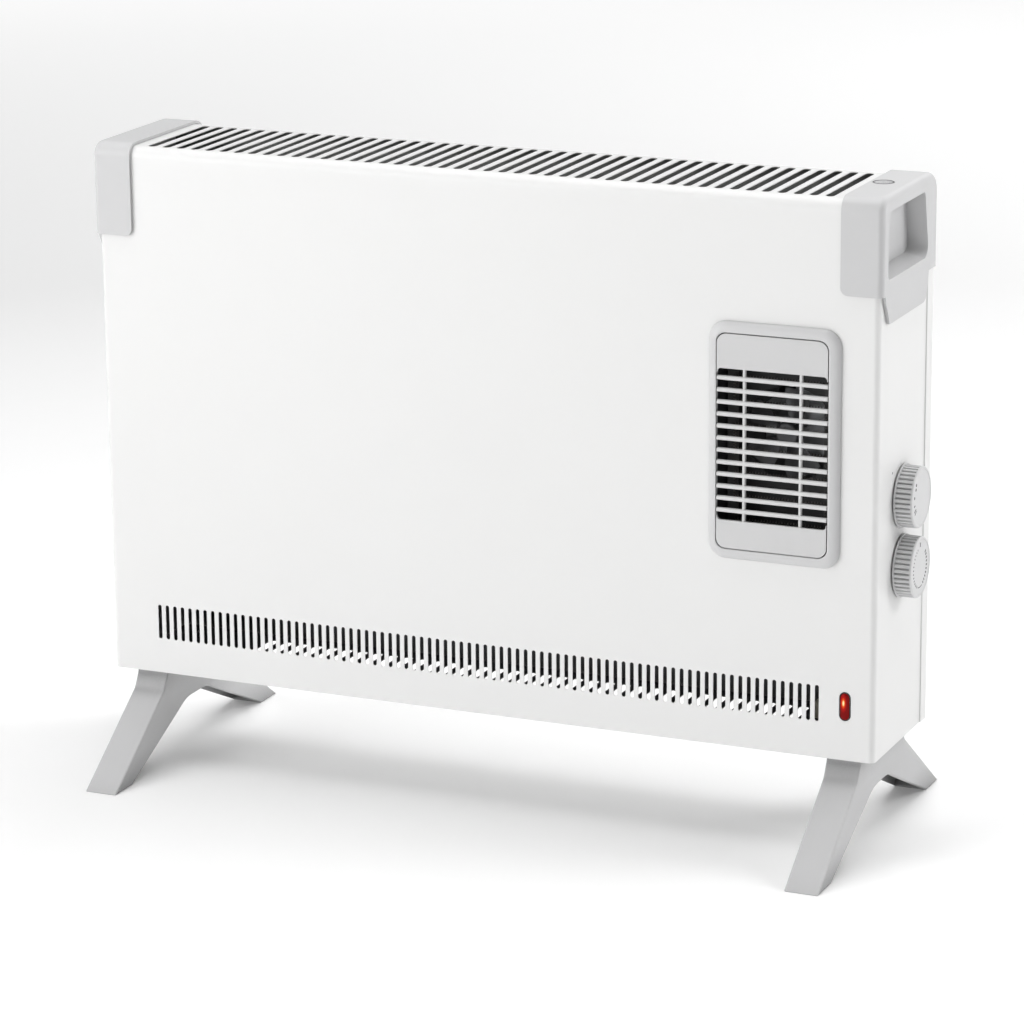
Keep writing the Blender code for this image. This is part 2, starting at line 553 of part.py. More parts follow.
def fan_heater():
    """A mica frame in the duct and the zigzag heating wire in front of it."""
    y = FRONT + 0.017
    size = [s - 0.002 for s in INSERT_SIZE]
    outline = rounded_rectangle((FAN_X, FAN_Z), size, 0.004, 2)
    window = rounded_rectangle((FAN_X, FAN_Z), [s - 0.018 for s in size], 0.004, 2)
    board = piece("coil_board", prism(outline, "Y", y, y + 0.0008), MICA)
    boolean(board, "window", prism(window, "Y", y - 0.004, y + 0.004))
    curve = bpy.data.curves.new("fan_coil", "CURVE")
    curve.dimensions = "3D"
    curve.bevel_depth = COIL_R
    curve.bevel_resolution = 1
    curve.use_fill_caps = True
    points = []
    for row in range(COIL_ROWS):
        z = FAN_Z + (row - (COIL_ROWS - 1) / 2) * COIL_PITCH
        for end in (-COIL_HALF, COIL_HALF) if row % 2 == 0 else (COIL_HALF, -COIL_HALF):
            points.append(at(FAN_X + end, y - COIL_R - GAP, z))
    spline = curve.splines.new("POLY")
    spline.points.add(len(points) - 1)
    for point, place in zip(spline.points, points):
        point.co = (*place, 1)
    wire = bpy.data.objects.new("fan_coil", curve)
    wire.data.materials.append(material("fan_coil", WIRE))
    PARTS.objects.link(wire)


# ---------------------------------------------------------------- inside

def convection_elements():
    """Two finned elements across the casing left of the fan, held by a bracket at each end."""
    left, right = ELEMENT_X
    for name, z in zip(("element_upper", "element_lower"), ELEMENT_Z):
        fins = []
        for i in range(8):
            radius, turns = (0.019, (-7, 7)) if i % 2 else (0.006, (0,))
            for turn in turns:
                angle = math.radians(45 * i + turn)
                fins.append((radius * math.cos(angle), z + radius * math.sin(angle)))
        element = piece(name, prism(fins, "X", left, right), ALUMINIUM)
        pins = cylinder((left - 0.012, 0, z), PIN_R, right - left + 0.024, "X", 12)
        boolean(element, "pins", pins, "UNION")
    front, back = -0.028, SHIELD_Y - GAP
    for end, x, out in (("left", left - 0.004, -1), ("right", right + 0.004, 1)):
        outline = [(x, front), (x + out * STRAP, front), (x + out * STRAP, back - STRAP),
                   (x + out * 0.012, back - STRAP), (x + out * 0.012, back), (x, back)]
        sheet = prism(outline, "Z", ELEMENT_Z[1] - 0.027, ELEMENT_Z[0] + 0.027)
        bracket = piece(f"element_bracket_{end}", sheet, ZINC)
        boolean(bracket, "pins", merge(*[cylinder((x - 0.005, 0, z), PIN_R + GAP, 0.010, "X", 12)
                                         for z in ELEMENT_Z]))


def electrics():
    """Cut-out on the shield, terminal block on the base plate, bushing for the lead in the back panel."""
    cutout = cylinder((0.060, SHIELD_Y - GAP - 0.008, 0.210), 0.008, 0.008, "Y", 16)
    piece("thermal_cutout", cutout, BLACK)
    base = BASE_Z + SHEET + GAP
    block = piece("terminal_block", box((0.255, 0.020, base), (0.283, 0.040, base + 0.014)), CREAM)
    entries = [box((0.2585 + 0.0085 * i, 0.016, base + 0.003), (0.2625 + 0.0085 * i, 0.028, base + 0.008))
               for i in range(3)]
    boolean(block, "entries", merge(*entries))
    x, z = BUSHING
    inner, outer = PANEL_FRONT - GAP, PANEL_BACK + GAP
    flange = cylinder((x, outer, z), 0.0095, 0.0035, "Y", 20, 0.0080)
    bushing = piece("cable_bushing", flange, BLACK, smooth=30)
    boolean(bushing, "neck", cylinder((x, inner - 0.002, z), BUSHING_NECK, 0.004, "Y", 20), "UNION")
    boolean(bushing, "nut", cylinder((x, inner - 0.004, z), 0.0085, 0.004, "Y", 20), "UNION")
    boolean(bushing, "bore", cylinder((x, inner - 0.01, z), 0.0042, 0.03, "Y", 16))


def neon():
    """A lens through the casing's front and the lamp's carrier behind it."""
    outline = rounded_rectangle((NEON_X, NEON_Z), NEON_SIZE, NEON_SIZE[0] / 2 - 0.0001, 4)
    bm = prism(outline, "Y", FRONT - 0.0014, FRONT + 0.0030)
    rim = [e for e in bm.edges if all(v.co.y < FRONT - 0.0014 + 1e-6 for v in e.verts)]
    bmesh.ops.bevel(bm, geom=rim, offset=0.0009, segments=1, affect="EDGES")
    piece("neon_lens", bm, RED, smooth=40)
    piece("neon_lamp", box((NEON_X - 0.006, FRONT + 0.0033, NEON_Z - 0.014),
                           (NEON_X + 0.006, FRONT + 0.016, NEON_Z + 0.014)), BLACK)


def control(kind, z):
    """One control: its body behind the side, the spindle in it, and the knob on the spindle."""
    inner = SIDE - SHEET - GAP
    case = box((inner - 0.026, KNOB_Y - 0.016, z - 0.016), (inner, KNOB_Y + 0.016, z + 0.016))
    body = piece(f"{kind}_body", case, BLACK)
    boolean(body, "bore", cylinder((inner - 0.020, KNOB_Y, z), SPINDLE_R + GAP, 0.03, "X", 16))
    pivot = at(SIDE, KNOB_Y, z)
    shaft = cylinder((inner - 0.019, KNOB_Y, z), SPINDLE_R, 0.031, "X", 16)
    piece(f"{kind}_spindle", shaft, ZINC, origin=pivot, smooth=30)

    skirt_x, face_x, out = SIDE + 0.0008, SIDE + KNOB_OUT - 0.0030, SIDE + KNOB_OUT
    skirt = cylinder((skirt_x, KNOB_Y, z), KNOB_R, 0.0014, "X", FLUTES)
    knob = piece(f"{kind}_knob", skirt, GREY, origin=pivot, smooth=30)
    step = 2 * math.pi / FLUTES
    ridges = []
    for i in range(FLUTES):
        for turn, radius in ((-0.30, KNOB_R - 0.0013), (-0.16, KNOB_FACE_R), (0.16, KNOB_FACE_R),
                             (0.30, KNOB_R - 0.0013)):
            angle = (i + turn) * step
            ridges.append((KNOB_Y + radius * math.cos(angle), z + radius * math.sin(angle)))
    boolean(knob, "ridges", prism(ridges, "X", skirt_x + 0.0007, face_x + 0.0005), "UNION")
    face = cylinder((face_x, KNOB_Y, z), KNOB_FACE_R, out - face_x, "X", FLUTES)
    edge = [e for e in face.edges if all(v.co.x > at(out, 0, 0).x - 1e-6 for v in e.verts)]
    bmesh.ops.bevel(face, geom=edge, offset=0.0018, segments=2, profile=0.5, affect="EDGES")
    boolean(knob, "face", face, "UNION")
    boolean(knob, "bore", cylinder((skirt_x - 0.002, KNOB_Y, z), SPINDLE_R + GAP, 0.0135, "X", 16))


clear_scene()
PARTS = new_collection("fan_convector_heater")
CUTTERS = new_collection("cutters")
front_casing()
back_panel()
base_plate()
heat_shield()
end_cap("end_cap_left", -1)
end_cap("end_cap_right", 1)
cap_badge()
feet()
fan_bezel()
fan_grille()
fan_duct()
fan()
fan_heater()
convection_elements()
electrics()
neon()
control("selector", SELECTOR_Z)
control("thermostat", THERMOSTAT_Z)
screws()
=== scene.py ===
"""Looks of a fan convector heater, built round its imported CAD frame. Lengths are in metres.

at(x, y, z) gives a point of the heater: x from the casing's middle, y back from its front face and z up
from its bottom edge. Sizes below are in these directions.
"""

import json
import math

import bmesh
import bpy
from mathutils import Matrix, Quaternion, Vector


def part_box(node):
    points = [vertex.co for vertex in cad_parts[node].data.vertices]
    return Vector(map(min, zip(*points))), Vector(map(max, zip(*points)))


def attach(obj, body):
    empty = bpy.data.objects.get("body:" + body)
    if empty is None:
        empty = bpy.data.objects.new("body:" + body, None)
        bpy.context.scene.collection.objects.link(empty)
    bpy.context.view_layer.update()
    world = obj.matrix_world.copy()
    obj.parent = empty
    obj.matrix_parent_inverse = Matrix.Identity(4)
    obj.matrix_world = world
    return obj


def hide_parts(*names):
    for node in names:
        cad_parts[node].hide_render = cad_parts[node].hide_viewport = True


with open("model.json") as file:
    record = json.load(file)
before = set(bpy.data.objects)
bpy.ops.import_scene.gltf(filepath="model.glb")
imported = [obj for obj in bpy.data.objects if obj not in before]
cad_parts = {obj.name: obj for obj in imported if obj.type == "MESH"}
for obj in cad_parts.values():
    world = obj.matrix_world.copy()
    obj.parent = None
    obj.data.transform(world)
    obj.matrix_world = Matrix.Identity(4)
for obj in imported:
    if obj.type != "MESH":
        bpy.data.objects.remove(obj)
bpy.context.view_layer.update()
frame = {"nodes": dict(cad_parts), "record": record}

# Camera, by its direction from the point it looks at
CAMERA_AZIMUTH, CAMERA_ELEVATION, CAMERA_ROLL = 23.83, 15.53, 0.56
CAMERA_DISTANCE, CAMERA_AIM, CAMERA_LENS = 3.338, (-0.0043, 0.0, 0.2330), 145.8

# Sizes that the frame's boxes don't give. Sheet metal, the rounding of its cut edges, and its slots:
SHEET, GAP, SHEET_EDGE = 0.0007, 0.0003, 0.00018
FRONT_FOLD, BACK_FOLD, SIDE_FOLD = 0.009, 0.014, 0.005
RETURN_FLANGE, SIDE_FLANGE = 0.012, 0.0138
LOW_SLOTS, LOW_SLOT_FIRST, LOW_SLOT_PITCH = 83, -0.2885, 0.0070
LOW_SLOT_WIDTH, LOW_SLOT_Z = 0.0033, (0.0292, 0.0584)
TOP_SLOTS, TOP_SLOT_PITCH, TOP_SLOT_WIDTH, TOP_SLOT_Y = 46, 0.01278, 0.0072, (0.0087, 0.1066)
BASE_SLOTS, BASE_SLOT_PITCH, BASE_SLOT_WIDTH, BASE_SLOT_Y = 35, 0.0140, 0.0080, (0.0165, 0.1085)
BACK_SLOTS, BACK_SLOT_PITCH, BACK_SLOT_SIZE = 8, 0.011, (0.068, 0.004)
SPINDLE_HOLE = 0.005

# Caps and feet
CAP_WALL, CAP_RADIUS, CAP_BOTTOM, TONGUE_BOTTOM, RECESS_DEPTH = 0.0024, 0.005, 0.3675, 0.3445, 0.0155
FOOT_WALL, FOOT_BEND, SOLE = 0.0025, 0.0015, 0.029
FOOT_RIB_Y, FOOT_RIB_HALF = 0.016, 0.001

# Fan outlet
GRILLE_Z, BARS, BAR_HEIGHT, UPRIGHT_X, UPRIGHT_WIDTH = (0.184, 0.304), 12, 0.0035, 0.0229, 0.0026
INSERT_GAP, PLATE_THICKNESS, BAR_DEPTH = 0.0007, 0.0024, 0.0030
IMPELLER_R, BLADE_ROOT, BLADES, BLADE_STEPS = 0.035, 0.008, 5, 6
COIL_ROWS, COIL_PITCH, COIL_SIDES, WIRE_R = 8, 0.0024, 8, 0.00025

# Knobs, and how deep and how proud their marks are
KNOB_RIBS, KNOB_RIB_DEPTH, KNOB_EDGE, KNOB_DISH = 38, 0.0017, 0.0013, 0.0005
MARK_DEPTH, MARK_PROUD = 0.0004, 0.00003

# Screws, by the piece that they hold, and the bushing
SCREW_R, SCREW_HEAD, SCREW_HOLE, SCREW_SIDES, BUSHING_NECK = 0.0015, (0.0034, 0.0022), 0.0019, 28, 0.0065
SCREWS = {group: [f"{group}_screw_{i + 1}" for i in range(count)]
          for group, count in (("back", 6), ("cap", 4), ("foot", 4))}

# The casing's place, read from the frame
CASING_LOW, CASING_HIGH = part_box("front_casing")
MIDDLE_X = (CASING_LOW.x + CASING_HIGH.x) / 2
SIDE = (CASING_HIGH.x - CASING_LOW.x) / 2
HEIGHT = CASING_HIGH.z - CASING_LOW.z
CASING_DEPTH = CASING_HIGH.y - CASING_LOW.y
PANEL_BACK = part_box("back_panel")[1].y - CASING_LOW.y
BODY = "casing"


def at(x, y, z):
    return Vector((MIDDLE_X + x, CASING_LOW.y + y, CASING_LOW.z + z))


def place(node):
    """The middle and the size of a CAD node, with the middle given as at() takes it."""
    low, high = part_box(node)
    middle = (low + high) / 2 - at(0, 0, 0)
    return middle, high - low


# ---------------------------------------------------------------- camera, light and floor

def make_camera():
    azimuth, elevation = math.radians(CAMERA_AZIMUTH), math.radians(CAMERA_ELEVATION)
    back = Vector((math.sin(azimuth) * math.cos(elevation), -math.cos(azimuth) * math.cos(elevation),
                   math.sin(elevation)))
    camera = bpy.data.objects.new("camera", bpy.data.cameras.new("camera"))
    bpy.context.scene.collection.objects.link(camera)
    camera.location = Vector(CAMERA_AIM) + back * CAMERA_DISTANCE
    camera.rotation_mode = "QUATERNION"
    roll = Quaternion((0, 0, 1), -math.radians(CAMERA_ROLL))
    camera.rotation_quaternion = back.to_track_quat("Z", "Y") @ roll
    camera.data.lens = CAMERA_LENS
    bpy.context.scene.camera = camera


def area_light(name, location, size, power, target=(0, 0, 0.25)):
    lamp = bpy.data.lights.new(name, "AREA")
    lamp.size, lamp.energy = size, power
    obj = bpy.data.objects.new(name, lamp)
    obj.location = location
    obj.rotation_euler = (Vector(location) - Vector(target)).to_track_quat("Z", "Y").to_euler()
    bpy.context.scene.collection.objects.link(obj)


def make_world():
    """A dim white room that is bright only low down, where the floor runs out into it."""
    world = bpy.data.worlds.new("studio")
    world.use_nodes = True
    background = world.node_tree.nodes["Background"]
    direction = shader_node(world, "ShaderNodeTexCoord").outputs["Generated"]
    height = shader_node(world, "ShaderNodeSeparateXYZ", {"Vector": direction}).outputs["Z"]
    glow = map_range(world, height, (0.04, 0.16), (0.90, 0.11))
    background.inputs["Color"].default_value = (1, 1, 1, 1)
    world.node_tree.links.new(glow, background.inputs["Strength"])
    bpy.context.scene.world = world


def make_studio():
    bpy.context.scene.view_settings.view_transform = "Standard"
    area_light("overhead", (0.0, 0.2, 3.2), 3.2, 82)
    area_light("right_softbox", (3.0, 1.5, 2.0), 1.7, 54)
    area_light("left_softbox", (-2.1, -2.4, 1.4), 2.2, 62)
    area_light("rear_softbox", (0.2, 3.6, 2.0), 2.2, 22)

    bm = bmesh.new()
    bmesh.ops.create_circle(bm, cap_ends=True, segments=96, radius=40)
    mesh = bpy.data.meshes.new("floor")
    bm.to_mesh(mesh)
    bm.free()
    floor = bpy.data.objects.new("floor", mesh)
    bpy.context.scene.collection.objects.link(floor)
    mesh.materials.append(floor_paint())


# ---------------------------------------------------------------- materials

def shader_node(owner, kind, inputs=(), **settings):
    """A node in a material or world, with its settings, and with its inputs linked or given values."""
    made = owner.node_tree.nodes.new(kind)
    for name, value in settings.items():
        setattr(made, name, value)
    for name, value in dict(inputs).items():
        if isinstance(value, bpy.types.NodeSocket):
            owner.node_tree.links.new(value, made.inputs[name])
        else:
            made.inputs[name].default_value = value
    return made


def map_range(owner, value, source, target):
    """A value taken from the source's range to the target's, and held at its ends."""
    return shader_node(owner, "ShaderNodeMapRange", {
        "Value": value, "From Min": source[0], "From Max": source[1],
        "To Min": target[0], "To Max": target[1]}).outputs[0]


def mix(owner, factor, a, b):
    """Two colours mixed by a factor."""
    return shader_node(owner, "ShaderNodeMix", {"Factor": factor, "A": a, "B": b},
                       data_type="RGBA").outputs["Result"]


def vector_math(owner, operation, a, b=None):
    """A vector operation's outputs, on one vector or two."""
    inputs = {0: a} if b is None else {0: a, 1: b}
    return shader_node(owner, "ShaderNodeVectorMath", inputs, operation=operation).outputs


def surface(name, colour, roughness, metallic=0.0, grain=(1600, 0.00002), mottle=(22, 0.03),
            spread=0.06, stretch=(1, 1, 1), dust=0.0, crease=0.006, **shading):
    """A Principled material: a mottled colour, a fine grain in relief and a roughness that goes with it.

    grain is the relief's scale and its depth, mottle the blotches' scale and how far they change the
    colour, spread how far the roughness strays, stretch pulls the grain along an axis, and crease shade
    is painted shade: it darkens what lies within a crease's distance of another surface.
    """
    mat = bpy.data.materials.new(name)
    mat.use_nodes = True
    shader = mat.node_tree.nodes["Principled BSDF"]
    coordinates = shader_node(mat, "ShaderNodeTexCoord").outputs["Object"]
    pulled = shader_node(mat, "ShaderNodeMapping", {"Vector": coordinates, "Scale": stretch}).outputs[0]
    blotch = shader_node(mat, "ShaderNodeTexNoise",
                         {"Vector": coordinates, "Scale": mottle[0], "Detail": 4.0}).outputs["Fac"]
    fine = shader_node(mat, "ShaderNodeTexNoise",
                       {"Vector": pulled, "Scale": grain[0], "Detail": 3.0}).outputs["Fac"]
    dark = [c * (1 - mottle[1]) for c in colour]
    light = [min(1.0, c * (1 + mottle[1] * 0.5)) for c in colour]
    tint = mix(mat, blotch, (*dark, 1), (*light, 1))
    # Painted shade: an ambient occlusion node darkens the colour in creases and hollows, within the crease
    # distance.
    if dust:
        creases = shader_node(mat, "ShaderNodeAmbientOcclusion", {"Distance": crease}, samples=4)
        amount = map_range(mat, creases.outputs["AO"], (0.35, 0.95), (dust, 0.0))
        tint = mix(mat, amount, tint, (*[c * 0.35 for c in colour], 1))
    mat.node_tree.links.new(tint, shader.inputs["Base Color"])
    rough = map_range(mat, fine, (0.3, 0.7), (roughness - spread, roughness + spread))
    mat.node_tree.links.new(rough, shader.inputs["Roughness"])
    bump = shader_node(mat, "ShaderNodeBump", {"Height": fine, "Distance": grain[1]})
    mat.node_tree.links.new(bump.outputs[0], shader.inputs["Normal"])
    shader.inputs["Metallic"].default_value = metallic
    for key, value in shading.items():
        shader.inputs[key.replace("_", " ").title().replace("Ior", "IOR")].default_value = value
    return mat


def floor_paint():
    """A plain white floor that glows faintly, and more so where it is far from the lights."""
    mat = surface("floor_pale", (0.92, 0.92, 0.92), 0.7, grain=(60, 0.0001), mottle=(1.5, 0.01),
                  emission_color=(1, 1, 1, 1))
    position = shader_node(mat, "ShaderNodeTexCoord").outputs["Object"]
    distance = vector_math(mat, "LENGTH", position)["Value"]
    glow = map_range(mat, distance, (2.0, 5.0), (0.10, 0.80))
    shader = mat.node_tree.nodes["Principled BSDF"]
    mat.node_tree.links.new(glow, shader.inputs["Emission Strength"])
    return mat


def neon_red():
    """The lens: a deep red moulding, lit by the lamp's glow behind its upper half and dark round its rim."""
    mat = surface("neon_red", (0.06, 0.0005, 0.0004), 0.22, grain=(300, 0.00003), mottle=(200, 0.3),
                  spread=0.05, specular_ior_level=0.10)
    shader = mat.node_tree.nodes["Principled BSDF"]
    middle = place("neon_lens")[0]
    glow, half_width, half_height = at(middle.x - 0.0008, 0, middle.z + 0.0030), 0.0030, 0.0080
    position = shader_node(mat, "ShaderNodeTexCoord").outputs["Object"]
    away = vector_math(mat, "SUBTRACT", position, glow)[0]
    flat = vector_math(mat, "MULTIPLY", away, (1 / half_width, 0, 1 / half_height))[0]
    distance = vector_math(mat, "LENGTH", flat)["Value"]
    ramp = shader_node(mat, "ShaderNodeValToRGB", {"Fac": distance})
    stops = ramp.color_ramp.elements
    stops[0].position, stops[0].color = 0.0, (1.0, 0.92, 0.60, 1)
    stops[1].position, stops[1].color = 1.0, (0.15, 0.002, 0.002, 1)
    stops.new(0.20).color = (1.0, 0.75, 0.30, 1)
    stops.new(0.33).color = (0.80, 0.10, 0.01, 1)
    stops.new(0.60).color = (0.42, 0.005, 0.003, 1)
    mat.node_tree.links.new(ramp.outputs["Color"], shader.inputs["Emission Color"])
    shader.inputs["Emission Strength"].default_value = 1.0
    return mat


def make_materials():
    """Every look by name: one for each material slot, and a few that tell surfaces of one slot apart."""
    moulded = dict(grain=(2200, 0.00003), mottle=(40, 0.03), dust=0.3)
    shaded_inside = dict(metallic=0.2, grain=(700, 0.00004), mottle=(60, 0.3))
    looks = {
        "casing_paint": dict(colour=(0.82, 0.82, 0.815), roughness=0.40,
                             grain=(1500, 0.00003), mottle=(9, 0.012), dust=0.12),
        # Painted shade: a near-black and a darker grey for the inner faces, which lie in the heater's dark
        # inside.
        "inside_shade_black": dict(colour=(0.085, 0.085, 0.087), roughness=0.55, **shaded_inside),
        "inside_shade_grey": dict(colour=(0.42, 0.42, 0.42), roughness=0.55, **shaded_inside),
        # Painted shade: the caps' crease shade reaches 11 mm and darkens the hand recess.
        "cap_moulding": dict(colour=(0.605, 0.605, 0.61), roughness=0.46,
                             grain=(2200, 0.00004), mottle=(30, 0.03), dust=0.5, crease=0.011),
        # Painted shade: the feet's crease shade is at full strength and reaches 27 mm, so the hollows under
        # them read dark.
        "foot_moulding": dict(colour=(0.56, 0.56, 0.565), roughness=0.50,
                              grain=(2000, 0.00005), mottle=(26, 0.05), dust=1.0, crease=0.027),
        "bezel_moulding": dict(colour=(0.63, 0.63, 0.635), roughness=0.42, **moulded),
        "grille_moulding": dict(colour=(0.70, 0.70, 0.70), roughness=0.40, **moulded),
        "plate_moulding": dict(colour=(0.63, 0.63, 0.633), roughness=0.40, **moulded),
        "knob_moulding": dict(colour=(0.66, 0.66, 0.665), roughness=0.42,
                              grain=(2400, 0.00003), mottle=(60, 0.03), dust=0.5),
        "badge_moulding": dict(colour=(0.52, 0.52, 0.53), roughness=0.28,
                               grain=(2400, 0.00001), mottle=(80, 0.04), dust=0.5),
        "mark_ink": dict(colour=(0.10, 0.10, 0.105), roughness=0.55,
                         grain=(3000, 0.00001), mottle=(300, 0.25)),
        "black_plastic": dict(colour=(0.022, 0.022, 0.023), roughness=0.52,
                              grain=(1800, 0.00004), mottle=(40, 0.15)),
        "duct_plastic": dict(colour=(0.032, 0.032, 0.033), roughness=0.58,
                             grain=(1200, 0.00006), mottle=(30, 0.25)),
        "cream_plastic": dict(colour=(0.72, 0.68, 0.56), roughness=0.50, mottle=(60, 0.05), dust=0.4),
        "mica_board": dict(colour=(0.055, 0.055, 0.053), roughness=0.62,
                           grain=(300, 0.0002), mottle=(120, 0.35), stretch=(1, 1, 4)),
        "zinc_steel": dict(colour=(0.42, 0.43, 0.44), roughness=0.40, metallic=0.9,
                           grain=(900, 0.00003), mottle=(70, 0.18), spread=0.10),
        "screw_steel": dict(colour=(0.60, 0.61, 0.62), roughness=0.30, metallic=1.0,
                            grain=(1600, 0.00002), mottle=(400, 0.12), dust=0.6),
        "element_aluminium": dict(colour=(0.34, 0.34, 0.35), roughness=0.50, metallic=0.85,
                                  grain=(500, 0.0001), mottle=(90, 0.2), stretch=(0.05, 1, 1)),
        # Painted shade: the impeller's aluminium is given a dark grey for the shade it turns in behind the
        # grille.
        "impeller_aluminium": dict(colour=(0.12, 0.12, 0.124), roughness=0.45, metallic=0.7,
                                   grain=(900, 0.00005), mottle=(70, 0.15)),
        "coil_wire": dict(colour=(0.16, 0.145, 0.135), roughness=0.50, metallic=0.8,
                          grain=(2500, 0.00003), mottle=(300, 0.4)),
    }
    made = {name: surface(name, **look) for name, look in looks.items()}
    made["neon_red"] = neon_red()
    return made


def dress_frame():
    """The CAD nodes take the material of their slot, but for the fan duct, which takes a matte dark plastic
    of its own, and the heat shield, which is painted near black as shade.
    """
    # The heat shield's near black is painted shade, for the dark inside seen through the slots.
    swapped_looks = {"fan_duct": "duct_plastic", "heat_shield": "inside_shade_black"}
    for row in frame["record"]["subparts"]:
        node = frame["nodes"][row["node"]]
        look = swapped_looks.get(row["node"], row["material_slot"])
        node.data.materials.clear()
        node.data.materials.append(LOOKS[look])


# ---------------------------------------------------------------- mesh tools

def box(low, high):
    low, high = at(*low), at(*high)
    bm = bmesh.new()
    bmesh.ops.create_cube(bm, size=1, matrix=Matrix.Translation((low + high) / 2)
                          @ Matrix.Diagonal((*[abs(s) for s in high - low], 1)))
    return bm


def outline(corners, radius, grow=0.0, steps=6):
    """A closed outline from sharp corners, given anticlockwise: moved outwards by grow, then rounded.

    radius is one number, or one for each corner, and each corner's arc has so many steps.
    """
    count = len(corners)
    radii = radius if isinstance(radius, (list, tuple)) else [radius] * count
    points = []
    for i, corner in enumerate(corners):
        corner, before, after = (Vector(c) for c in (corner, corners[i - 1], corners[(i + 1) % count]))
        inward, outward = (corner - before).normalized(), (after - corner).normalized()
        normals = [Vector((d.y, -d.x)) for d in (inward, outward)]
        corner = corner + (normals[0] + normals[1]) * grow / (1 + normals[0].dot(normals[1]))
        turn = math.atan2(inward.x * outward.y - inward.y * outward.x, inward.dot(outward))
        sign = 1 if turn >= 0 else -1
        bend = max(radii[i] + sign * grow, 1e-5)
        start = corner - inward * bend * math.tan(abs(turn) / 2)
        arm = normals[0] * sign * bend
        centre = start - arm
        for step in range(steps + 1):
            point = centre + Matrix.Rotation(turn * step / steps, 2) @ arm
            points.append((point.x, point.y))
    return points


def rectangle(centre, size):
    x, y, half_x, half_y = *centre, size[0] / 2, size[1] / 2
    left, right, low, high = x - half_x, x + half_x, y - half_y, y + half_y
    return [(left, low), (right, low), (right, high), (left, high)]


def ring(points, axis, level):
    """An outline set across an axis: in (Y, Z) for X, in (X, Z) for Y, in (X, Y) for Z."""
    return [at(*{"X": (level, u, v), "Y": (u, level, v), "Z": (u, v, level)}[axis]) for u, v in points]


def loft(rings, hoop=False):
    """A skin through rings of as many points each: closed at its ends, or its ends joined as a hoop."""
    bm = bmesh.new()
    rows = [[bm.verts.new(point) for point in one] for one in rings]
    pairs = list(zip(rows, rows[1:])) + ([(rows[-1], rows[0])] if hoop else [])
    for a, b in pairs:
        for i in range(len(a)):
            j = (i + 1) % len(a)
            bm.faces.new((a[i], a[j], b[j], b[i]))
    if not hoop:
        bm.faces.new(rows[0])
        bm.faces.new(rows[-1])
    bmesh.ops.recalc_face_normals(bm, faces=bm.faces)
    return bm


def prism(points, axis, low, high):
    return loft([ring(points, axis, low), ring(points, axis, high)])


def circle(centre, radius, sides=32):
    return [(centre[0] + radius * math.cos(2 * math.pi * i / sides),
             centre[1] + radius * math.sin(2 * math.pi * i / sides)) for i in range(sides)]


def turned(centre, axis, profile, sides=48):
    """A turned solid: its profile is (level along the axis, radius) from one end to the other."""
    return loft([ring(circle(centre, radius, sides), axis, level) for level, radius in profile])


def merge(shapes):
    whole = bmesh.new()
    for shape in shapes:
        mesh = bpy.data.meshes.new("shape")
        shape.to_mesh(mesh)
        shape.free()
        whole.from_mesh(mesh)
        bpy.data.meshes.remove(mesh)
    return whole


def new_object(name, bm):
    bmesh.ops.recalc_face_normals(bm, faces=bm.faces)
    mesh = bpy.data.meshes.new(name)
    bm.to_mesh(mesh)
    bm.free()
    obj = bpy.data.objects.new(name, mesh)
    bpy.context.scene.collection.objects.link(obj)
    return obj


def settle(obj):
    """The object's modifiers made part of its mesh."""
    graph = bpy.context.evaluated_depsgraph_get()
    old = obj.data
    obj.data = bpy.data.meshes.new_from_object(obj.evaluated_get(graph))
    obj.modifiers.clear()
    bpy.data.meshes.remove(old)


def cut(obj, shapes, operation="DIFFERENCE"):
    tool = new_object("tool", merge(shapes))
    modifier = obj.modifiers.new("cut", "BOOLEAN")
    modifier.object, modifier.operation, modifier.solver = tool, operation, "EXACT"
    settle(obj)
    bpy.data.objects.remove(tool)


def soften(obj, width, segments=2, angle=35):
    """Rounds the edges that are sharper than the angle."""
    modifier = obj.modifiers.new("soften", "BEVEL")
    modifier.width, modifier.segments = width, segments
    modifier.limit_method, modifier.angle_limit = "ANGLE", math.radians(angle)
    settle(obj)


def piece(obj, look, body=BODY, replaces=(), smooth=40, inside=None, shared=False):
    """A finished piece: its material, its shading, the body it rides on and the CAD node it stands for.

    inside is the look of the faces that are turned to the heater's middle and lie behind the outer skin;
    it is darker than the outside, painted shade for the heater's dark inside.
    A shared mesh keeps its plain normals, because other pieces show it as well.
    """
    obj.data.materials.clear()
    obj.data.materials.append(LOOKS[look])
    if inside:
        obj.data.materials.append(LOOKS[inside])
        middle, half = at(0, PANEL_BACK / 2, HEIGHT / 2), Vector((SIDE, PANEL_BACK / 2, HEIGHT / 2))
        for face in obj.data.polygons:
            offset = face.center - middle
            depth = min(half[axis] - abs(offset[axis]) for axis in range(3))
            if face.normal.dot(offset) < 0 and depth > SHEET * 0.8:
                face.material_index = 1
    obj.data.shade_smooth()
    obj.data.set_sharp_from_angle(angle=math.radians(smooth))
    if not shared:
        even = obj.modifiers.new("even", "WEIGHTED_NORMAL")
        even.weight, even.keep_sharp = 90, True
        settle(obj)
    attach(obj, body)
    if replaces:
        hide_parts(*replaces)
    return obj


def round_edges(bm, chosen, radius, segments):
    edges = [edge for edge in bm.edges if chosen(*(vert.co for vert in edge.verts))]
    bmesh.ops.bevel(bm, geom=edges, offset=radius, segments=segments, profile=0.5, affect="EDGES")


def both(axis, value):
    """A test for edges with both ends at a value along an axis."""
    return lambda a, b: abs(a[axis] - value) < 1e-6 and abs(b[axis] - value) < 1e-6


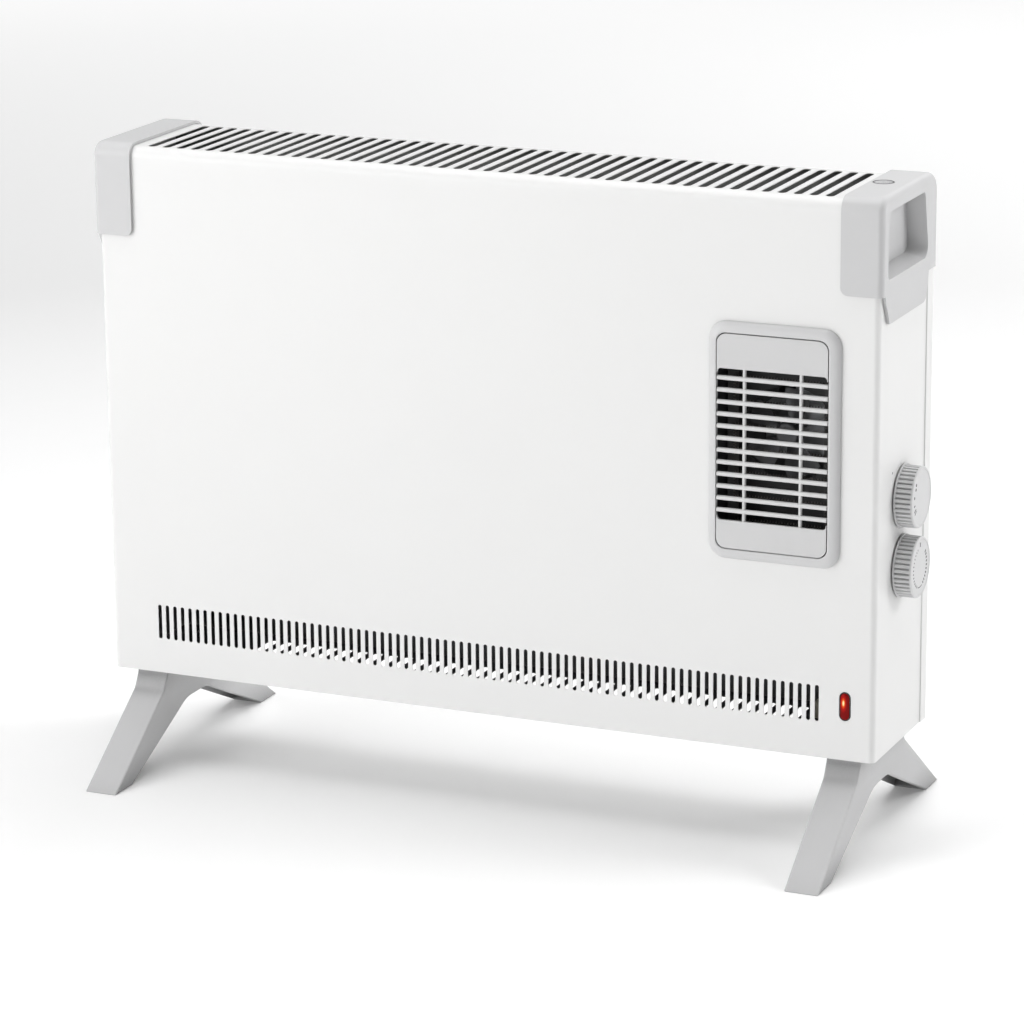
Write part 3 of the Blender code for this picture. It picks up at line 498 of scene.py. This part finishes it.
def slots(centres, size, axis, depth=0.006):
    """Round-ended slots cut through at the centres; size is their width and length across the axis."""
    bend = min(size) / 2 - 1e-5
    made = []
    for centre in centres:
        x, y, z = centre
        across, level = {"Y": ((x, z), y), "Z": ((x, y), z)}[axis]
        shape = outline(rectangle(across, size), bend, steps=5)
        made.append(prism(shape, axis, level - depth, level + depth))
    return made


def spaced(count, pitch, middle=0.0):
    """Places in a row, a pitch apart and even about a middle."""
    return [middle + (i - (count - 1) / 2) * pitch for i in range(count)]


def screw_holes(nodes, axis, low, high):
    """Cutters for screws that run along Y or Z, at the places of their CAD nodes."""
    other = {"Y": "z", "Z": "y"}[axis]
    spots = [place(node)[0] for node in nodes]
    return [prism(circle((spot.x, getattr(spot, other)), SCREW_HOLE, 20), axis, low, high) for spot in spots]


# ---------------------------------------------------------------- sheet metal

def front_casing():
    """One folded sheet: front, top and sides, with flanges at the back round the panel's window."""
    bm = box((-SIDE, 0, 0), (SIDE, CASING_DEPTH, HEIGHT))
    left, on_front, on_bottom = (both(axis, CASING_LOW[axis]) for axis in range(3))
    right, on_back, on_top = (both(axis, CASING_HIGH[axis]) for axis in range(3))
    round_edges(bm, lambda a, b: on_front(a, b) and on_top(a, b), FRONT_FOLD, 8)
    round_edges(bm, lambda a, b: on_back(a, b) and on_top(a, b), BACK_FOLD, 8)
    round_edges(bm, lambda a, b: (left(a, b) or right(a, b)) and not on_bottom(a, b) and not on_back(a, b),
                SIDE_FOLD, 6)
    underside = [face for face in bm.faces if face.normal.z < -0.99]
    bmesh.ops.delete(bm, geom=underside, context="FACES_ONLY")
    casing = new_object("casing_shell", bm)
    sheet = casing.modifiers.new("sheet", "SOLIDIFY")
    sheet.thickness, sheet.offset, sheet.use_even_offset = SHEET, -1, True
    settle(casing)

    flange_x, window_z = SIDE - RETURN_FLANGE, 0.2
    half_window = HEIGHT - BACK_FOLD - RETURN_FLANGE - window_z
    window = outline(rectangle((0, window_z), (2 * flange_x, 2 * half_window)), 0.004)
    openings = [prism(window, "Y", CASING_DEPTH - 0.004, CASING_DEPTH + 0.01)]
    outlet, insert_size = place("fan_grille")
    outlet_hole = rectangle((outlet.x, outlet.z), (insert_size.x + 0.004, insert_size.z + 0.004))
    openings.append(prism(outline(outlet_hole, 0.009), "Y", -0.004, 0.004))
    lens, lens_size = place("neon_lens")
    lens_hole = rectangle((lens.x, lens.z), (lens_size.x, lens_size.z))
    openings.append(prism(outline(lens_hole, lens_size.x / 2 - 1e-5, grow=GAP), "Y", -0.003, 0.003))
    for spindle in ("selector_spindle", "thermostat_spindle"):
        middle = place(spindle)[0]
        hole = circle((middle.y, middle.z), SPINDLE_HOLE, 24)
        openings.append(prism(hole, "X", SIDE - 0.004, SIDE + 0.004))
    for side in (-1, 1):
        # Room for the pocket of the cap's hand recess
        openings.append(box((side * (SIDE - 0.003), 0.006, 0.3752), (side * (SIDE + 0.003), 0.108, 0.4342)))
    cut(casing, openings)
    low_z = sum(LOW_SLOT_Z) / 2
    low = [(LOW_SLOT_FIRST + i * LOW_SLOT_PITCH, 0, low_z) for i in range(LOW_SLOTS)]
    cut(casing, slots(low, (LOW_SLOT_WIDTH, LOW_SLOT_Z[1] - LOW_SLOT_Z[0]), "Y", 0.004))
    tops = [(x, sum(TOP_SLOT_Y) / 2, HEIGHT) for x in spaced(TOP_SLOTS, TOP_SLOT_PITCH)]
    cut(casing, slots(tops, (TOP_SLOT_WIDTH, TOP_SLOT_Y[1] - TOP_SLOT_Y[0]), "Z", 0.004))
    soften(casing, SHEET_EDGE, 2, 55)
    # The inner faces take a darker grey: painted shade for the casing's dark inside.
    piece(casing, "casing_paint", replaces=["front_casing"], inside="inside_shade_grey")


def back_panel():
    """A tray folded from sheet, with a flat extension up between the caps."""
    size = place("back_panel")[1]
    out, rear, flange = size.x / 2, PANEL_BACK, PANEL_BACK - SIDE_FLANGE
    inner = SIDE + 0.00005
    corners = [(-out, flange), (-inner, flange), (-inner, rear - SHEET), (inner, rear - SHEET),
               (inner, flange), (out, flange), (out, rear), (-out, rear)]
    radii = [0.0006, 0, 0.0006, 0.0006, 0, 0.0006, 0.0013, 0.0013]
    panel = new_object("back_tray", prism(outline(corners, radii, steps=4), "Z", 0.0, CAP_BOTTOM - GAP))
    upper = rectangle((0, (CAP_BOTTOM - 0.012 + HEIGHT - BACK_FOLD) / 2),
                      (2 * SIDE - 0.004, HEIGHT - BACK_FOLD - CAP_BOTTOM + 0.008))
    cut(panel, [prism(outline(upper, 0.002, steps=4), "Y", rear - SHEET, rear)], "UNION")
    outlet = place("fan_motor")[0]
    intake = [(outlet.x, rear, z) for z in spaced(BACK_SLOTS, BACK_SLOT_PITCH, outlet.z)]
    holes = slots(intake, BACK_SLOT_SIZE, "Y")
    holes += screw_holes(SCREWS["back"] + SCREWS["cap"], "Y", rear - 0.004, rear + 0.004)
    inlet = place("cable_bushing")[0]
    holes.append(prism(circle((inlet.x, inlet.z), BUSHING_NECK + GAP, 32), "Y", rear - 0.004, rear + 0.004))
    cut(panel, holes)
    soften(panel, SHEET_EDGE, 2, 55)
    # The inner faces are near black: painted shade for the heater's dark inside.
    piece(panel, "casing_paint", replaces=["back_panel"], inside="inside_shade_black")


def base_plate():
    """A flat plate between the sides, slotted across."""
    middle, size = place("base_plate")
    corners = rectangle((middle.x, middle.y), (size.x, size.y))
    low, high = middle.z - size.z / 2, middle.z + size.z / 2
    plate = new_object("base_sheet", prism(outline(corners, SIDE_FOLD), "Z", low, high))
    centres = [(x, sum(BASE_SLOT_Y) / 2, middle.z) for x in spaced(BASE_SLOTS, BASE_SLOT_PITCH)]
    holes = slots(centres, (BASE_SLOT_WIDTH, BASE_SLOT_Y[1] - BASE_SLOT_Y[0]), "Z")
    holes += screw_holes(SCREWS["foot"], "Z", low - 0.002, high + 0.002)
    cut(plate, holes)
    soften(plate, SHEET_EDGE, 2, 55)
    # The inner faces are near black: painted shade for the heater's dark inside.
    piece(plate, "casing_paint", replaces=["base_plate"], inside="inside_shade_black")


# ---------------------------------------------------------------- mouldings

def cap_body(side, inner, outer, front, back, bottom, top, bends):
    """A block for an end cap or its hollow.

    bends are its radii at the top's back, the top's front, the outer side and, if given, the inner foot.
    """
    bm = box((side * inner, front, bottom), (side * outer, back, top))
    on_inner, on_front, on_bottom = (both(i, v) for i, v in enumerate(at(side * inner, front, bottom)))
    on_outer, on_back, on_top = (both(i, v) for i, v in enumerate(at(side * outer, back, top)))
    round_edges(bm, lambda a, b: on_top(a, b) and on_back(a, b), bends[0], 8)
    round_edges(bm, lambda a, b: on_top(a, b) and on_front(a, b), bends[1], 8)
    round_edges(bm, lambda a, b: on_outer(a, b) and not on_bottom(a, b), bends[2], 6)
    if len(bends) > 3:
        round_edges(bm, lambda a, b: on_inner(a, b) and on_bottom(a, b), bends[3], 6)
    return bm


def end_cap(name, side):
    """A hood with a hand recess in its side and a tongue that runs down the casing."""
    middle, size = place(name)
    outer, inner = side * middle.x + size.x / 2, side * middle.x - size.x / 2
    front, back, top = middle.y - size.y / 2, middle.y + size.y / 2, middle.z + size.z / 2
    bends = (0.016, FRONT_FOLD + 0.002, CAP_RADIUS, 0.006)
    cap = new_object(f"{name}_moulding", cap_body(side, inner, outer, front, back, CAP_BOTTOM, top, bends))
    wall = outer - CAP_WALL
    hollow = cap_body(side, 0.25, wall, front + CAP_WALL, back - CAP_WALL, 0.30, top - CAP_WALL,
                      (0.0135, FRONT_FOLD - 0.0005, 0.0042))
    cut(cap, [hollow])
    pocket = outline(rectangle((0.0570, 0.4050), (0.1000, 0.0580)), 0.007)
    reach = sorted((side * (outer - RECESS_DEPTH - 0.002), side * (outer - 0.0012)))
    cut(cap, [prism(pocket, "X", *reach)], "UNION")
    tongue = [(0.0025, CAP_BOTTOM + 0.003), (0.0048, CAP_BOTTOM - 0.0040), (0.0142, TONGUE_BOTTOM),
              (0.1020, TONGUE_BOTTOM), (0.1075, CAP_BOTTOM + 0.003)]
    shape = outline(tongue, [0, 0.004, 0.0016, 0.010, 0])
    cut(cap, [prism(shape, "X", *sorted((side * wall, side * outer)))], "UNION")
    mouth = outline([(0.0095, 0.3790), (0.1058, 0.3790), (0.0952, 0.4310), (0.0095, 0.4310)],
                    [0.0035, 0.009, 0.0035, 0.007])
    floor = outline([(0.0105, 0.3830), (0.1035, 0.3830), (0.0940, 0.4300), (0.0115, 0.4300)],
                    [0.004, 0.008, 0.0035, 0.007])
    recess = ((mouth, outer + 0.004), (mouth, outer - 0.0005), (floor, outer - RECESS_DEPTH))
    cut(cap, [loft([ring(shape, "X", side * level) for shape, level in recess])])
    own_screws = [node for node in SCREWS["cap"] if place(node)[0].x * side > 0]
    holes = screw_holes(own_screws, "Y", back - 0.006, back + 0.004)
    if side > 0:
        badge, badge_size = place("cap_badge")
        seat = circle((badge.x, badge.y), badge_size.x / 2 + GAP, 48)
        holes.append(prism(seat, "Z", top - 0.0010, top + 0.004))
    cut(cap, holes)
    soften(cap, 0.0008, 3, 32)
    piece(cap, "cap_moulding", replaces=[name], smooth=50)


def cap_badge():
    """A plain disc with a raised rim, let into the right cap's top."""
    middle, size = place("cap_badge")
    low, high, radius = middle.z - size.z / 2, middle.z + size.z / 2, size.x / 2
    face, inner, outer = high - 0.00005, radius - 0.0012, radius - 0.0001
    profile = [(low, radius), (face - 0.0002, radius), (face, radius - 0.0002), (face, radius - 0.0010),
               (high - 0.0003, radius - 0.0016), (high - 0.0004, radius - 0.0040), (high - 0.00035, 0.0008)]
    badge = new_object("badge_disc", turned((middle.x, middle.y), "Z", profile, 64))
    piece(badge, "badge_moulding", replaces=["cap_badge"])
    section = ((inner, high - 0.0005), (inner, high), (outer, high), (outer, high - 0.0003))
    rim = [ring(circle((middle.x, middle.y), reach, 64), "Z", level) for reach, level in section]
    piece(new_object("badge_ring", loft(rim, hoop=True)), "mark_ink")


def foot(name, side):
    """A hollow channel, open below, with cross ribs in its middle."""
    middle, size = place(name)
    ground, top, reach = middle.z - size.z / 2, middle.z + size.z / 2, size.y / 2
    low, high = middle.x - size.x / 2, middle.x + size.x / 2
    half = [(reach - SOLE, ground), (reach, ground), (0.0575, -0.018), (0.0508, -0.006), (0.0500, top)]
    arch = [(-0.034, -0.0432), (-0.0187, -0.0356), (0.0187, -0.0356), (0.034, -0.0432)]
    corners = arch + half + [(-y, z) for y, z in reversed(half)]
    bends = [0.0, 0.040, 0.034, 0.0] + [0.0018, 0.0003, 0.012, 0.008, 0.0018]
    bends += list(reversed(bends[4:]))
    turns = [math.radians(a) for a in (90, 60, 30, 0)]
    shoulder = [(FOOT_BEND * (1 - math.sin(a)), FOOT_BEND * (math.cos(a) - 1)) for a in turns]
    rings = [(low + inset, grow) for inset, grow in shoulder]
    rings += [(high - inset, grow) for inset, grow in reversed(shoulder)]
    skin = loft([ring([(y + middle.y, z) for y, z in outline(corners, bends, grow, 5)], "X", level)
                 for level, grow in rings])
    channel = new_object(f"{name}_moulding", skin)
    half = [(0.105, ground - 0.005), (0.111, ground + 0.004), (0.121, -0.0672), (0.054, -0.0201),
            (0.049, -0.0150), (0.0475, -0.0017)]
    hollow = outline(half + [(-y, z) for y, z in reversed(half)], 0.0012, steps=3)
    cut(channel, [prism([(y + middle.y, z) for y, z in hollow], "X", low + FOOT_WALL, high - FOOT_WALL)])
    ribs = [box((low + FOOT_WALL - 0.001, middle.y + y - FOOT_RIB_HALF, -0.026),
                (high - FOOT_WALL + 0.001, middle.y + y + FOOT_RIB_HALF, -0.0005))
            for y in (-FOOT_RIB_Y, FOOT_RIB_Y)]
    cut(channel, ribs, "UNION")
    own_screws = [node for node in SCREWS["foot"] if place(node)[0].x * side > 0]
    cut(channel, screw_holes(own_screws, "Z", -0.006, 0.006))
    soften(channel, 0.0004, 2, 40)
    piece(channel, "foot_moulding", replaces=[name], smooth=50)


# ---------------------------------------------------------------- fan outlet

def fan_bezel():
    """A raised frame: its outer side slopes softly up to a flat face, its inner edge drops to the insert."""
    frame_middle, frame_size = place("fan_bezel")
    insert, insert_size = place("fan_grille")
    outside = rectangle((frame_middle.x, frame_middle.z), (frame_size.x, frame_size.z))
    opening = rectangle((insert.x, insert.z),
                        (insert_size.x + 2 * INSERT_GAP, insert_size.z + 2 * INSERT_GAP))
    back, face = -GAP, frame_middle.y - frame_size.y / 2
    slope = [(0.0, back), (0.0, -0.0010), (-0.0010, -0.0027), (-0.0026, -0.0041), (-0.0048, -0.0049),
             (-0.0070, face)]
    edge = [(0.0010, face), (0.0004, face + 0.00015), (0.0001, face + 0.0005), (0.0, face + 0.0010),
            (0.0, back)]
    rings = [ring(outline(outside, 0.014, grow, 8), "Y", level) for grow, level in slope]
    rings += [ring(outline(opening, 0.008, grow, 8), "Y", level) for grow, level in edge]
    piece(new_object("bezel_frame", loft(rings, hoop=True)), "bezel_moulding", replaces=["fan_bezel"])


def fan_grille():
    """Two plates, the bars between them and the two uprights that carry them all."""
    middle, size = place("fan_grille")
    left, right = middle.x - size.x / 2, middle.x + size.x / 2
    low, high = middle.z - size.z / 2, middle.z + size.z / 2
    front = middle.y - size.y / 2
    back = front + PLATE_THICKNESS
    plates = []
    for edge, end in ((GRILLE_Z[1], high), (GRILLE_Z[0], low)):
        away = math.copysign(1, end - edge)
        ear, leg = edge - away * 0.0035, 0.0004
        corners = [(left, ear), (left + leg, ear), (left + leg, edge), (right - leg, edge),
                   (right - leg, ear), (right, ear), (right, end), (left, end)]
        bends = [0, 0, 0.0030, 0.0030, 0, 0, 0.0077, 0.0077]
        if away < 0:
            corners, bends = corners[::-1], bends[::-1]
        plates.append(prism(outline(corners, bends), "Y", front, back))
    grille = new_object("grille_insert", merge(plates))
    soften(grille, 0.00045, 2, 60)
    uprights = []
    for x in (-UPRIGHT_X, UPRIGHT_X):
        section = rectangle((middle.x + x, front + 0.0010 + BAR_DEPTH / 2), (UPRIGHT_WIDTH, BAR_DEPTH))
        uprights.append(prism(outline(section, [0.0012, 0.0012, 0.0004, 0.0004]), "Z",
                              GRILLE_Z[0] - 0.006, GRILLE_Z[1] + 0.006))
    cut(grille, uprights, "UNION")
    gap = (GRILLE_Z[1] - GRILLE_Z[0] - BARS * BAR_HEIGHT) / (BARS + 1)
    bars = []
    for i in range(BARS):
        z = GRILLE_Z[0] + (i + 1) * gap + (i + 0.5) * BAR_HEIGHT
        section = outline(rectangle((front + BAR_DEPTH / 2, z), (BAR_DEPTH, BAR_HEIGHT)),
                          [0.0017, 0.0004, 0.0004, 0.0017], steps=6)
        bars.append(prism(section, "X", left, right))
    cut(grille, bars, "UNION")
    piece(grille, "grille_moulding", replaces=["fan_grille"], smooth=45)
    grille.data.materials.append(LOOKS["plate_moulding"])
    barred_z, half_barred = at(0, 0, sum(GRILLE_Z) / 2).z, (GRILLE_Z[1] - GRILLE_Z[0]) / 2
    for face in grille.data.polygons:
        if abs(face.center.z - barred_z) > half_barred + 0.0002:
            face.material_index = 1


def blade_section(step, turn):
    """A blade's radius at a step from its root to its tip, and (turn, lift) round its two faces there."""
    share = step / BLADE_STEPS
    radius = BLADE_ROOT + (IMPELLER_R - BLADE_ROOT) * share
    half_chord = 0.30 + 0.12 * math.sin(math.pi * step / (BLADE_STEPS + 1))
    pitch = math.radians(34 - 10 * share)
    points = []
    for thickness, order in ((-0.0004, range(-4, 5)), (0.0004, range(4, -5, -1))):
        for k in order:
            lift = radius * half_chord * k / 4 * math.tan(pitch) + 0.0022 * (1 - (k / 4) ** 2) + thickness
            points.append((half_chord * k / 4 + turn + 0.10 * share, lift))
    return radius, points


def impeller():
    """A hub and five pressed blades that widen, twist and curve towards their tips."""
    middle, size = place("fan_impeller")
    front, back = middle.y - size.y / 2, middle.y + size.y / 2
    profile = [(front, 0.0072), (front + 0.0012, 0.0092), (front + 0.003, 0.010), (back, 0.010)]
    fan = new_object("impeller_wheel", turned((middle.x, middle.z), "Y", profile))
    limit = size.y / 2 - 0.0002
    blades = []
    for i in range(BLADES):
        rings = []
        for step in range(BLADE_STEPS + 1):
            radius, section = blade_section(step, 2 * math.pi * i / BLADES)
            rings.append([at(middle.x + radius * math.cos(turn),
                             middle.y + max(-limit, min(limit, lift - 0.0006)),
                             middle.z + radius * math.sin(turn)) for turn, lift in section])
        blades.append(loft(rings))
    cut(fan, blades, "UNION")
    cut(fan, [prism(circle((middle.x, middle.z), 0.0023, 20), "Y", front + 0.003, back + 0.01)])
    piece(fan, "impeller_aluminium", body="fan", replaces=["fan_impeller"], smooth=45)


def fan_coil():
    """The heating wire, wound small and strung to and fro across the duct."""
    middle, size = place("fan_coil")
    half, radius = size.x / 2 - size.y / 2, size.y / 2
    pitch = (size.z - size.y) / (COIL_ROWS - 1)
    corners = []
    for i, z in enumerate(spaced(COIL_ROWS, pitch)):
        corners += [Vector((-half, 0, z)), Vector((half, 0, z))][::1 if i % 2 == 0 else -1]
    points = []
    for start, end in zip(corners, corners[1:]):
        along = (end - start).normalized()
        across = along.cross(Vector((0, 1, 0)))
        turns = round((end - start).length / COIL_PITCH)
        for k in range(turns * COIL_SIDES):
            angle = 2 * math.pi * k / COIL_SIDES
            spot = start + (end - start) * k / (turns * COIL_SIDES)
            offset = Vector((0, 1, 0)) * math.cos(angle) + across * math.sin(angle)
            points.append(at(*middle) + spot + offset * (radius - WIRE_R))
    curve = bpy.data.curves.new("coil_winding", "CURVE")
    curve.dimensions, curve.use_fill_caps = "3D", True
    curve.bevel_depth, curve.bevel_resolution = WIRE_R, 0
    spline = curve.splines.new("POLY")
    spline.points.add(len(points) - 1)
    for point, spot in zip(spline.points, points):
        point.co = (*spot, 1)
    guide = bpy.data.objects.new("coil_guide", curve)
    bpy.context.scene.collection.objects.link(guide)
    graph = bpy.context.evaluated_depsgraph_get()
    mesh = bpy.data.meshes.new_from_object(guide.evaluated_get(graph))
    bpy.data.objects.remove(guide)
    coil = bpy.data.objects.new("coil_winding", mesh)
    bpy.context.scene.collection.objects.link(coil)
    piece(coil, "coil_wire", replaces=["fan_coil"], smooth=60)


# ---------------------------------------------------------------- controls

def knob_levels(start, out, radius):
    """A knob's profile from its skirt to its dished face: (level, radius, how deep its grooves are)."""
    rib = radius - 0.0009
    shoulder, face = rib - 0.0003, out - KNOB_DISH
    lip = shoulder - KNOB_EDGE
    levels = [(start, radius - 0.0016, 0.0), (start + 0.0004, radius - 0.0014, 0.0),
              (start + 0.0005, radius, 0.0), (start + 0.0013, radius, 0.0),
              (start + 0.0015, radius - 0.0002, 0.0), (start + 0.0016, rib, 0.0),
              (start + 0.0020, rib, 1.0), (out - 0.0026, rib - 0.0002, 1.0),
              (out - 0.0020, rib - 0.00022, 0.8), (out - 0.0016, rib - 0.00025, 0.25),
              (out - KNOB_EDGE, shoulder, 0.0)]
    for angle in (math.radians(a) for a in (18, 36, 54, 72, 90)):
        levels.append((out - KNOB_EDGE * (1 - math.sin(angle)),
                       shoulder - KNOB_EDGE * (1 - math.cos(angle)), 0.0))
    levels += [(out, lip - 0.0005, 0.0), (out - 0.0001, lip - 0.0007, 0.0),
               (face + 0.0001, lip - 0.0010, 0.0), (face, lip - 0.0012, 0.0), (face, rib - 0.006, 0.0)]
    return levels


def knob(kind):
    """A turned knob with ribs all round: the grooves between them fade out into its rounded face edge.

    It returns the knob's middle and the level of its face, for the marks.
    """
    middle, size = place(f"{kind}_knob")
    start, out = middle.x - size.x / 2, middle.x + size.x / 2
    rib_steps = 8
    around = KNOB_RIBS * rib_steps
    rings = []
    for level, reach, depth in knob_levels(start, out, size.y / 2):
        points = []
        for k in range(around):
            wave = math.cos(2 * math.pi * (k % rib_steps) / rib_steps)
            radius = reach - max(0.0, wave) ** 2.5 * KNOB_RIB_DEPTH * depth
            angle = 2 * math.pi * k / around
            points.append((middle.y + radius * math.cos(angle), middle.z + radius * math.sin(angle)))
        rings.append(ring(points, "X", level))
    body = new_object(f"{kind}_knob_moulding", loft(rings))
    bore = circle((middle.y, middle.z), place(f"{kind}_spindle")[1].y / 2 + GAP, 24)
    cut(body, [prism(bore, "X", start - 0.002, start + 0.0115)])
    piece(body, "knob_moulding", body=kind, replaces=[f"{kind}_knob"], smooth=38)
    return middle, out - KNOB_DISH


def inlay(points, face):
    """A printed mark on a knob's face, as a thin inlay of a shape in (Y, Z)."""
    return prism(points, "X", face - MARK_DEPTH, face + MARK_PROUD)


def bar_mark(centre, face, degrees, distance, size):
    """A bar at an angle round the face, its length pointing at the middle; size is its width and length."""
    angle = math.radians(degrees)
    pointing = Vector((math.cos(angle), math.sin(angle)))
    across = Vector((-pointing.y, pointing.x))
    spot = Vector((centre.y, centre.z)) + pointing * distance
    length, width = pointing * size[1] / 2, across * size[0] / 2
    return inlay([spot - length - width, spot + length - width, spot + length + width, spot - length + width],
                 face)


def dot_mark(centre, face, y, z, radius):
    return inlay(circle((centre.y + y, centre.z + z), radius, 20), face)


def thermostat_marks(centre, face):
    """A pointer, ticks that grow stronger round the face, and a band between them at its foot."""
    ticks, first, sweep, band_start, band_end = 27, 110, 288, 248, 290
    shapes = []
    for i in range(ticks):
        degrees, grow = first + sweep * i / (ticks - 1), i / (ticks - 1)
        if not band_start < degrees < band_end:
            size = (0.0010 + 0.0007 * grow, 0.0014 + 0.0014 * grow)
            shapes.append(bar_mark(centre, face, degrees, 0.0158, size))
    shapes.append(bar_mark(centre, face, 90, 0.0180, (0.0019, 0.0034)))
    angles = [math.radians(252 + 36 * i / 8) for i in range(9)]
    band = [(centre.y + radius * math.cos(angle), centre.z + radius * math.sin(angle))
            for radius, order in ((0.0164, angles), (0.0157, angles[::-1])) for angle in order]
    shapes.append(inlay(band, face))
    piece(new_object("thermostat_marks", merge(shapes)), "mark_ink", body="thermostat")


def selector_marks(centre, face):
    """Generic marks for off, fan and the two heats."""
    dots = ((-0.0122, 0.0124, 0.0013), (-0.0130, 0.0090, 0.0013), (-0.0160, 0.0030, 0.0012))
    bars = ((193, (0.0013, 0.0028)), (208, (0.0011, 0.0046)), (216, (0.0011, 0.0046)))
    shapes = [dot_mark(centre, face, *dot) for dot in dots]
    shapes += [bar_mark(centre, face, degrees, 0.0160, size) for degrees, size in bars]
    piece(new_object("selector_marks", merge(shapes)), "mark_ink", body="selector")


def panel_mark():
    """The printed mark on the casing that the selector is set against."""
    middle = place("selector_knob")[0]
    spot = rectangle((middle.y - 0.0240, middle.z + 0.0235), (0.0012, 0.0018))
    mark = new_object("selector_index", prism(outline(spot, 0.0005), "X", SIDE - 0.0003, SIDE + 0.00004))
    piece(mark, "mark_ink")


def neon():
    """The lens, a long pill that swells out of the casing's front, and the dark rim round it."""
    middle, size = place("neon_lens")
    pill = rectangle((middle.x, middle.z), (size.x, size.z))
    back, face = middle.y + size.y / 2, middle.y - size.y / 2
    bend = size.x / 2 - 1e-5
    section = [(-0.0008, back), (-0.0008, -0.0003), (-0.0010, -0.0008), (-0.0015, -0.0012),
               (-0.0023, face + 0.00005), (-0.0034, face)]
    rings = [ring(outline(pill, bend, grow, 10), "Y", level) for grow, level in section]
    piece(new_object("neon_pill", loft(rings)), "neon_red", replaces=["neon_lens"], smooth=60)
    rim = [(0.0, back), (0.0, -0.0003), (-0.0002, -0.0006), (-0.0006, -0.0006), (-0.0007, -0.0003),
           (-0.0007, back)]
    rings = [ring(outline(pill, bend, grow, 10), "Y", level) for grow, level in rim]
    piece(new_object("neon_rim", loft(rings, hoop=True)), "black_plastic")


# ---------------------------------------------------------------- fasteners and bushing

def screw_mesh(length):
    """A pan head screw with a cross recess, its head outwards along +Z from its inner face at zero."""
    head_r, head_height = SCREW_HEAD
    profile = [(-length, 0.0008), (-length + 0.0008, SCREW_R), (-0.0001, SCREW_R), (0.0, head_r - 0.0001)]
    for angle in (math.radians(a) for a in (12, 26, 40, 54, 68)):
        profile.append((head_height * math.sin(angle), head_r * math.cos(angle) ** 0.6))
    profile.append((head_height, 0.0011))
    rings = [[(x, y, level) for x, y in circle((0, 0), radius, SCREW_SIDES)] for level, radius in profile]
    screw = new_object("screw", loft(rings))
    for turn in (0, 90):
        slit = bmesh.new()
        spin = Matrix.Rotation(math.radians(turn), 4, "Z") @ Matrix.Diagonal((0.0036, 0.0008, 0.0024, 1))
        bmesh.ops.create_cube(slit, size=1, matrix=Matrix.Translation((0, 0, head_height)) @ spin)
        cut(screw, [slit])
    mesh = screw.data
    bpy.data.objects.remove(screw)
    return mesh


def screws():
    """One mesh for each group of screws, each turned by its own amount in its hole."""
    for group, turn in (("back", (-90, 0, 0)), ("cap", (-90, 0, 0)), ("foot", (180, 0, 0))):
        axis = 2 if group == "foot" else 1
        length = place(SCREWS[group][0])[1][axis] - SCREW_HEAD[1]
        mesh = screw_mesh(length)
        for i, node in enumerate(SCREWS[group]):
            low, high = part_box(node)
            spot = (low + high) / 2
            spot[axis] = low.z + SCREW_HEAD[1] if group == "foot" else high.y - SCREW_HEAD[1]
            obj = bpy.data.objects.new(f"{node}_pan_head", mesh)
            bpy.context.scene.collection.objects.link(obj)
            obj.location = spot
            obj.rotation_euler = [math.radians(a) for a in turn]
            obj.rotation_euler.rotate_axis("Z", math.radians(20 + 47 * i))
            piece(obj, "screw_steel", replaces=[node], shared=True)


def cable_bushing():
    """A gland with a waist that sits in the back panel's hole."""
    middle, size = place("cable_bushing")
    rear, inside = middle.y + size.y / 2, middle.y - size.y / 2
    face = rear - 0.0035
    profile = [(face, 0.0095), (face + 0.0008, 0.0095), (rear - 0.0012, 0.0086), (rear - 0.0004, 0.0078),
               (rear, 0.0068), (rear, 0.0050), (rear - 0.0006, 0.0042), (inside, 0.0042), (inside, 0.0085),
               (inside + 0.004, 0.0085), (inside + 0.004, BUSHING_NECK), (face, BUSHING_NECK)]
    rings = [ring(circle((middle.x, middle.z), radius, 40), "Y", level) for level, radius in profile]
    piece(new_object("bushing_gland", loft(rings, hoop=True)), "black_plastic", replaces=["cable_bushing"])


LOOKS = make_materials()
make_camera()
make_world()
make_studio()
dress_frame()
front_casing()
back_panel()
base_plate()
end_cap("end_cap_left", -1)
end_cap("end_cap_right", 1)
cap_badge()
foot("foot_left", -1)
foot("foot_right", 1)
fan_bezel()
fan_grille()
impeller()
fan_coil()
thermostat_marks(*knob("thermostat"))
selector_marks(*knob("selector"))
panel_mark()
neon()
screws()
cable_bushing()
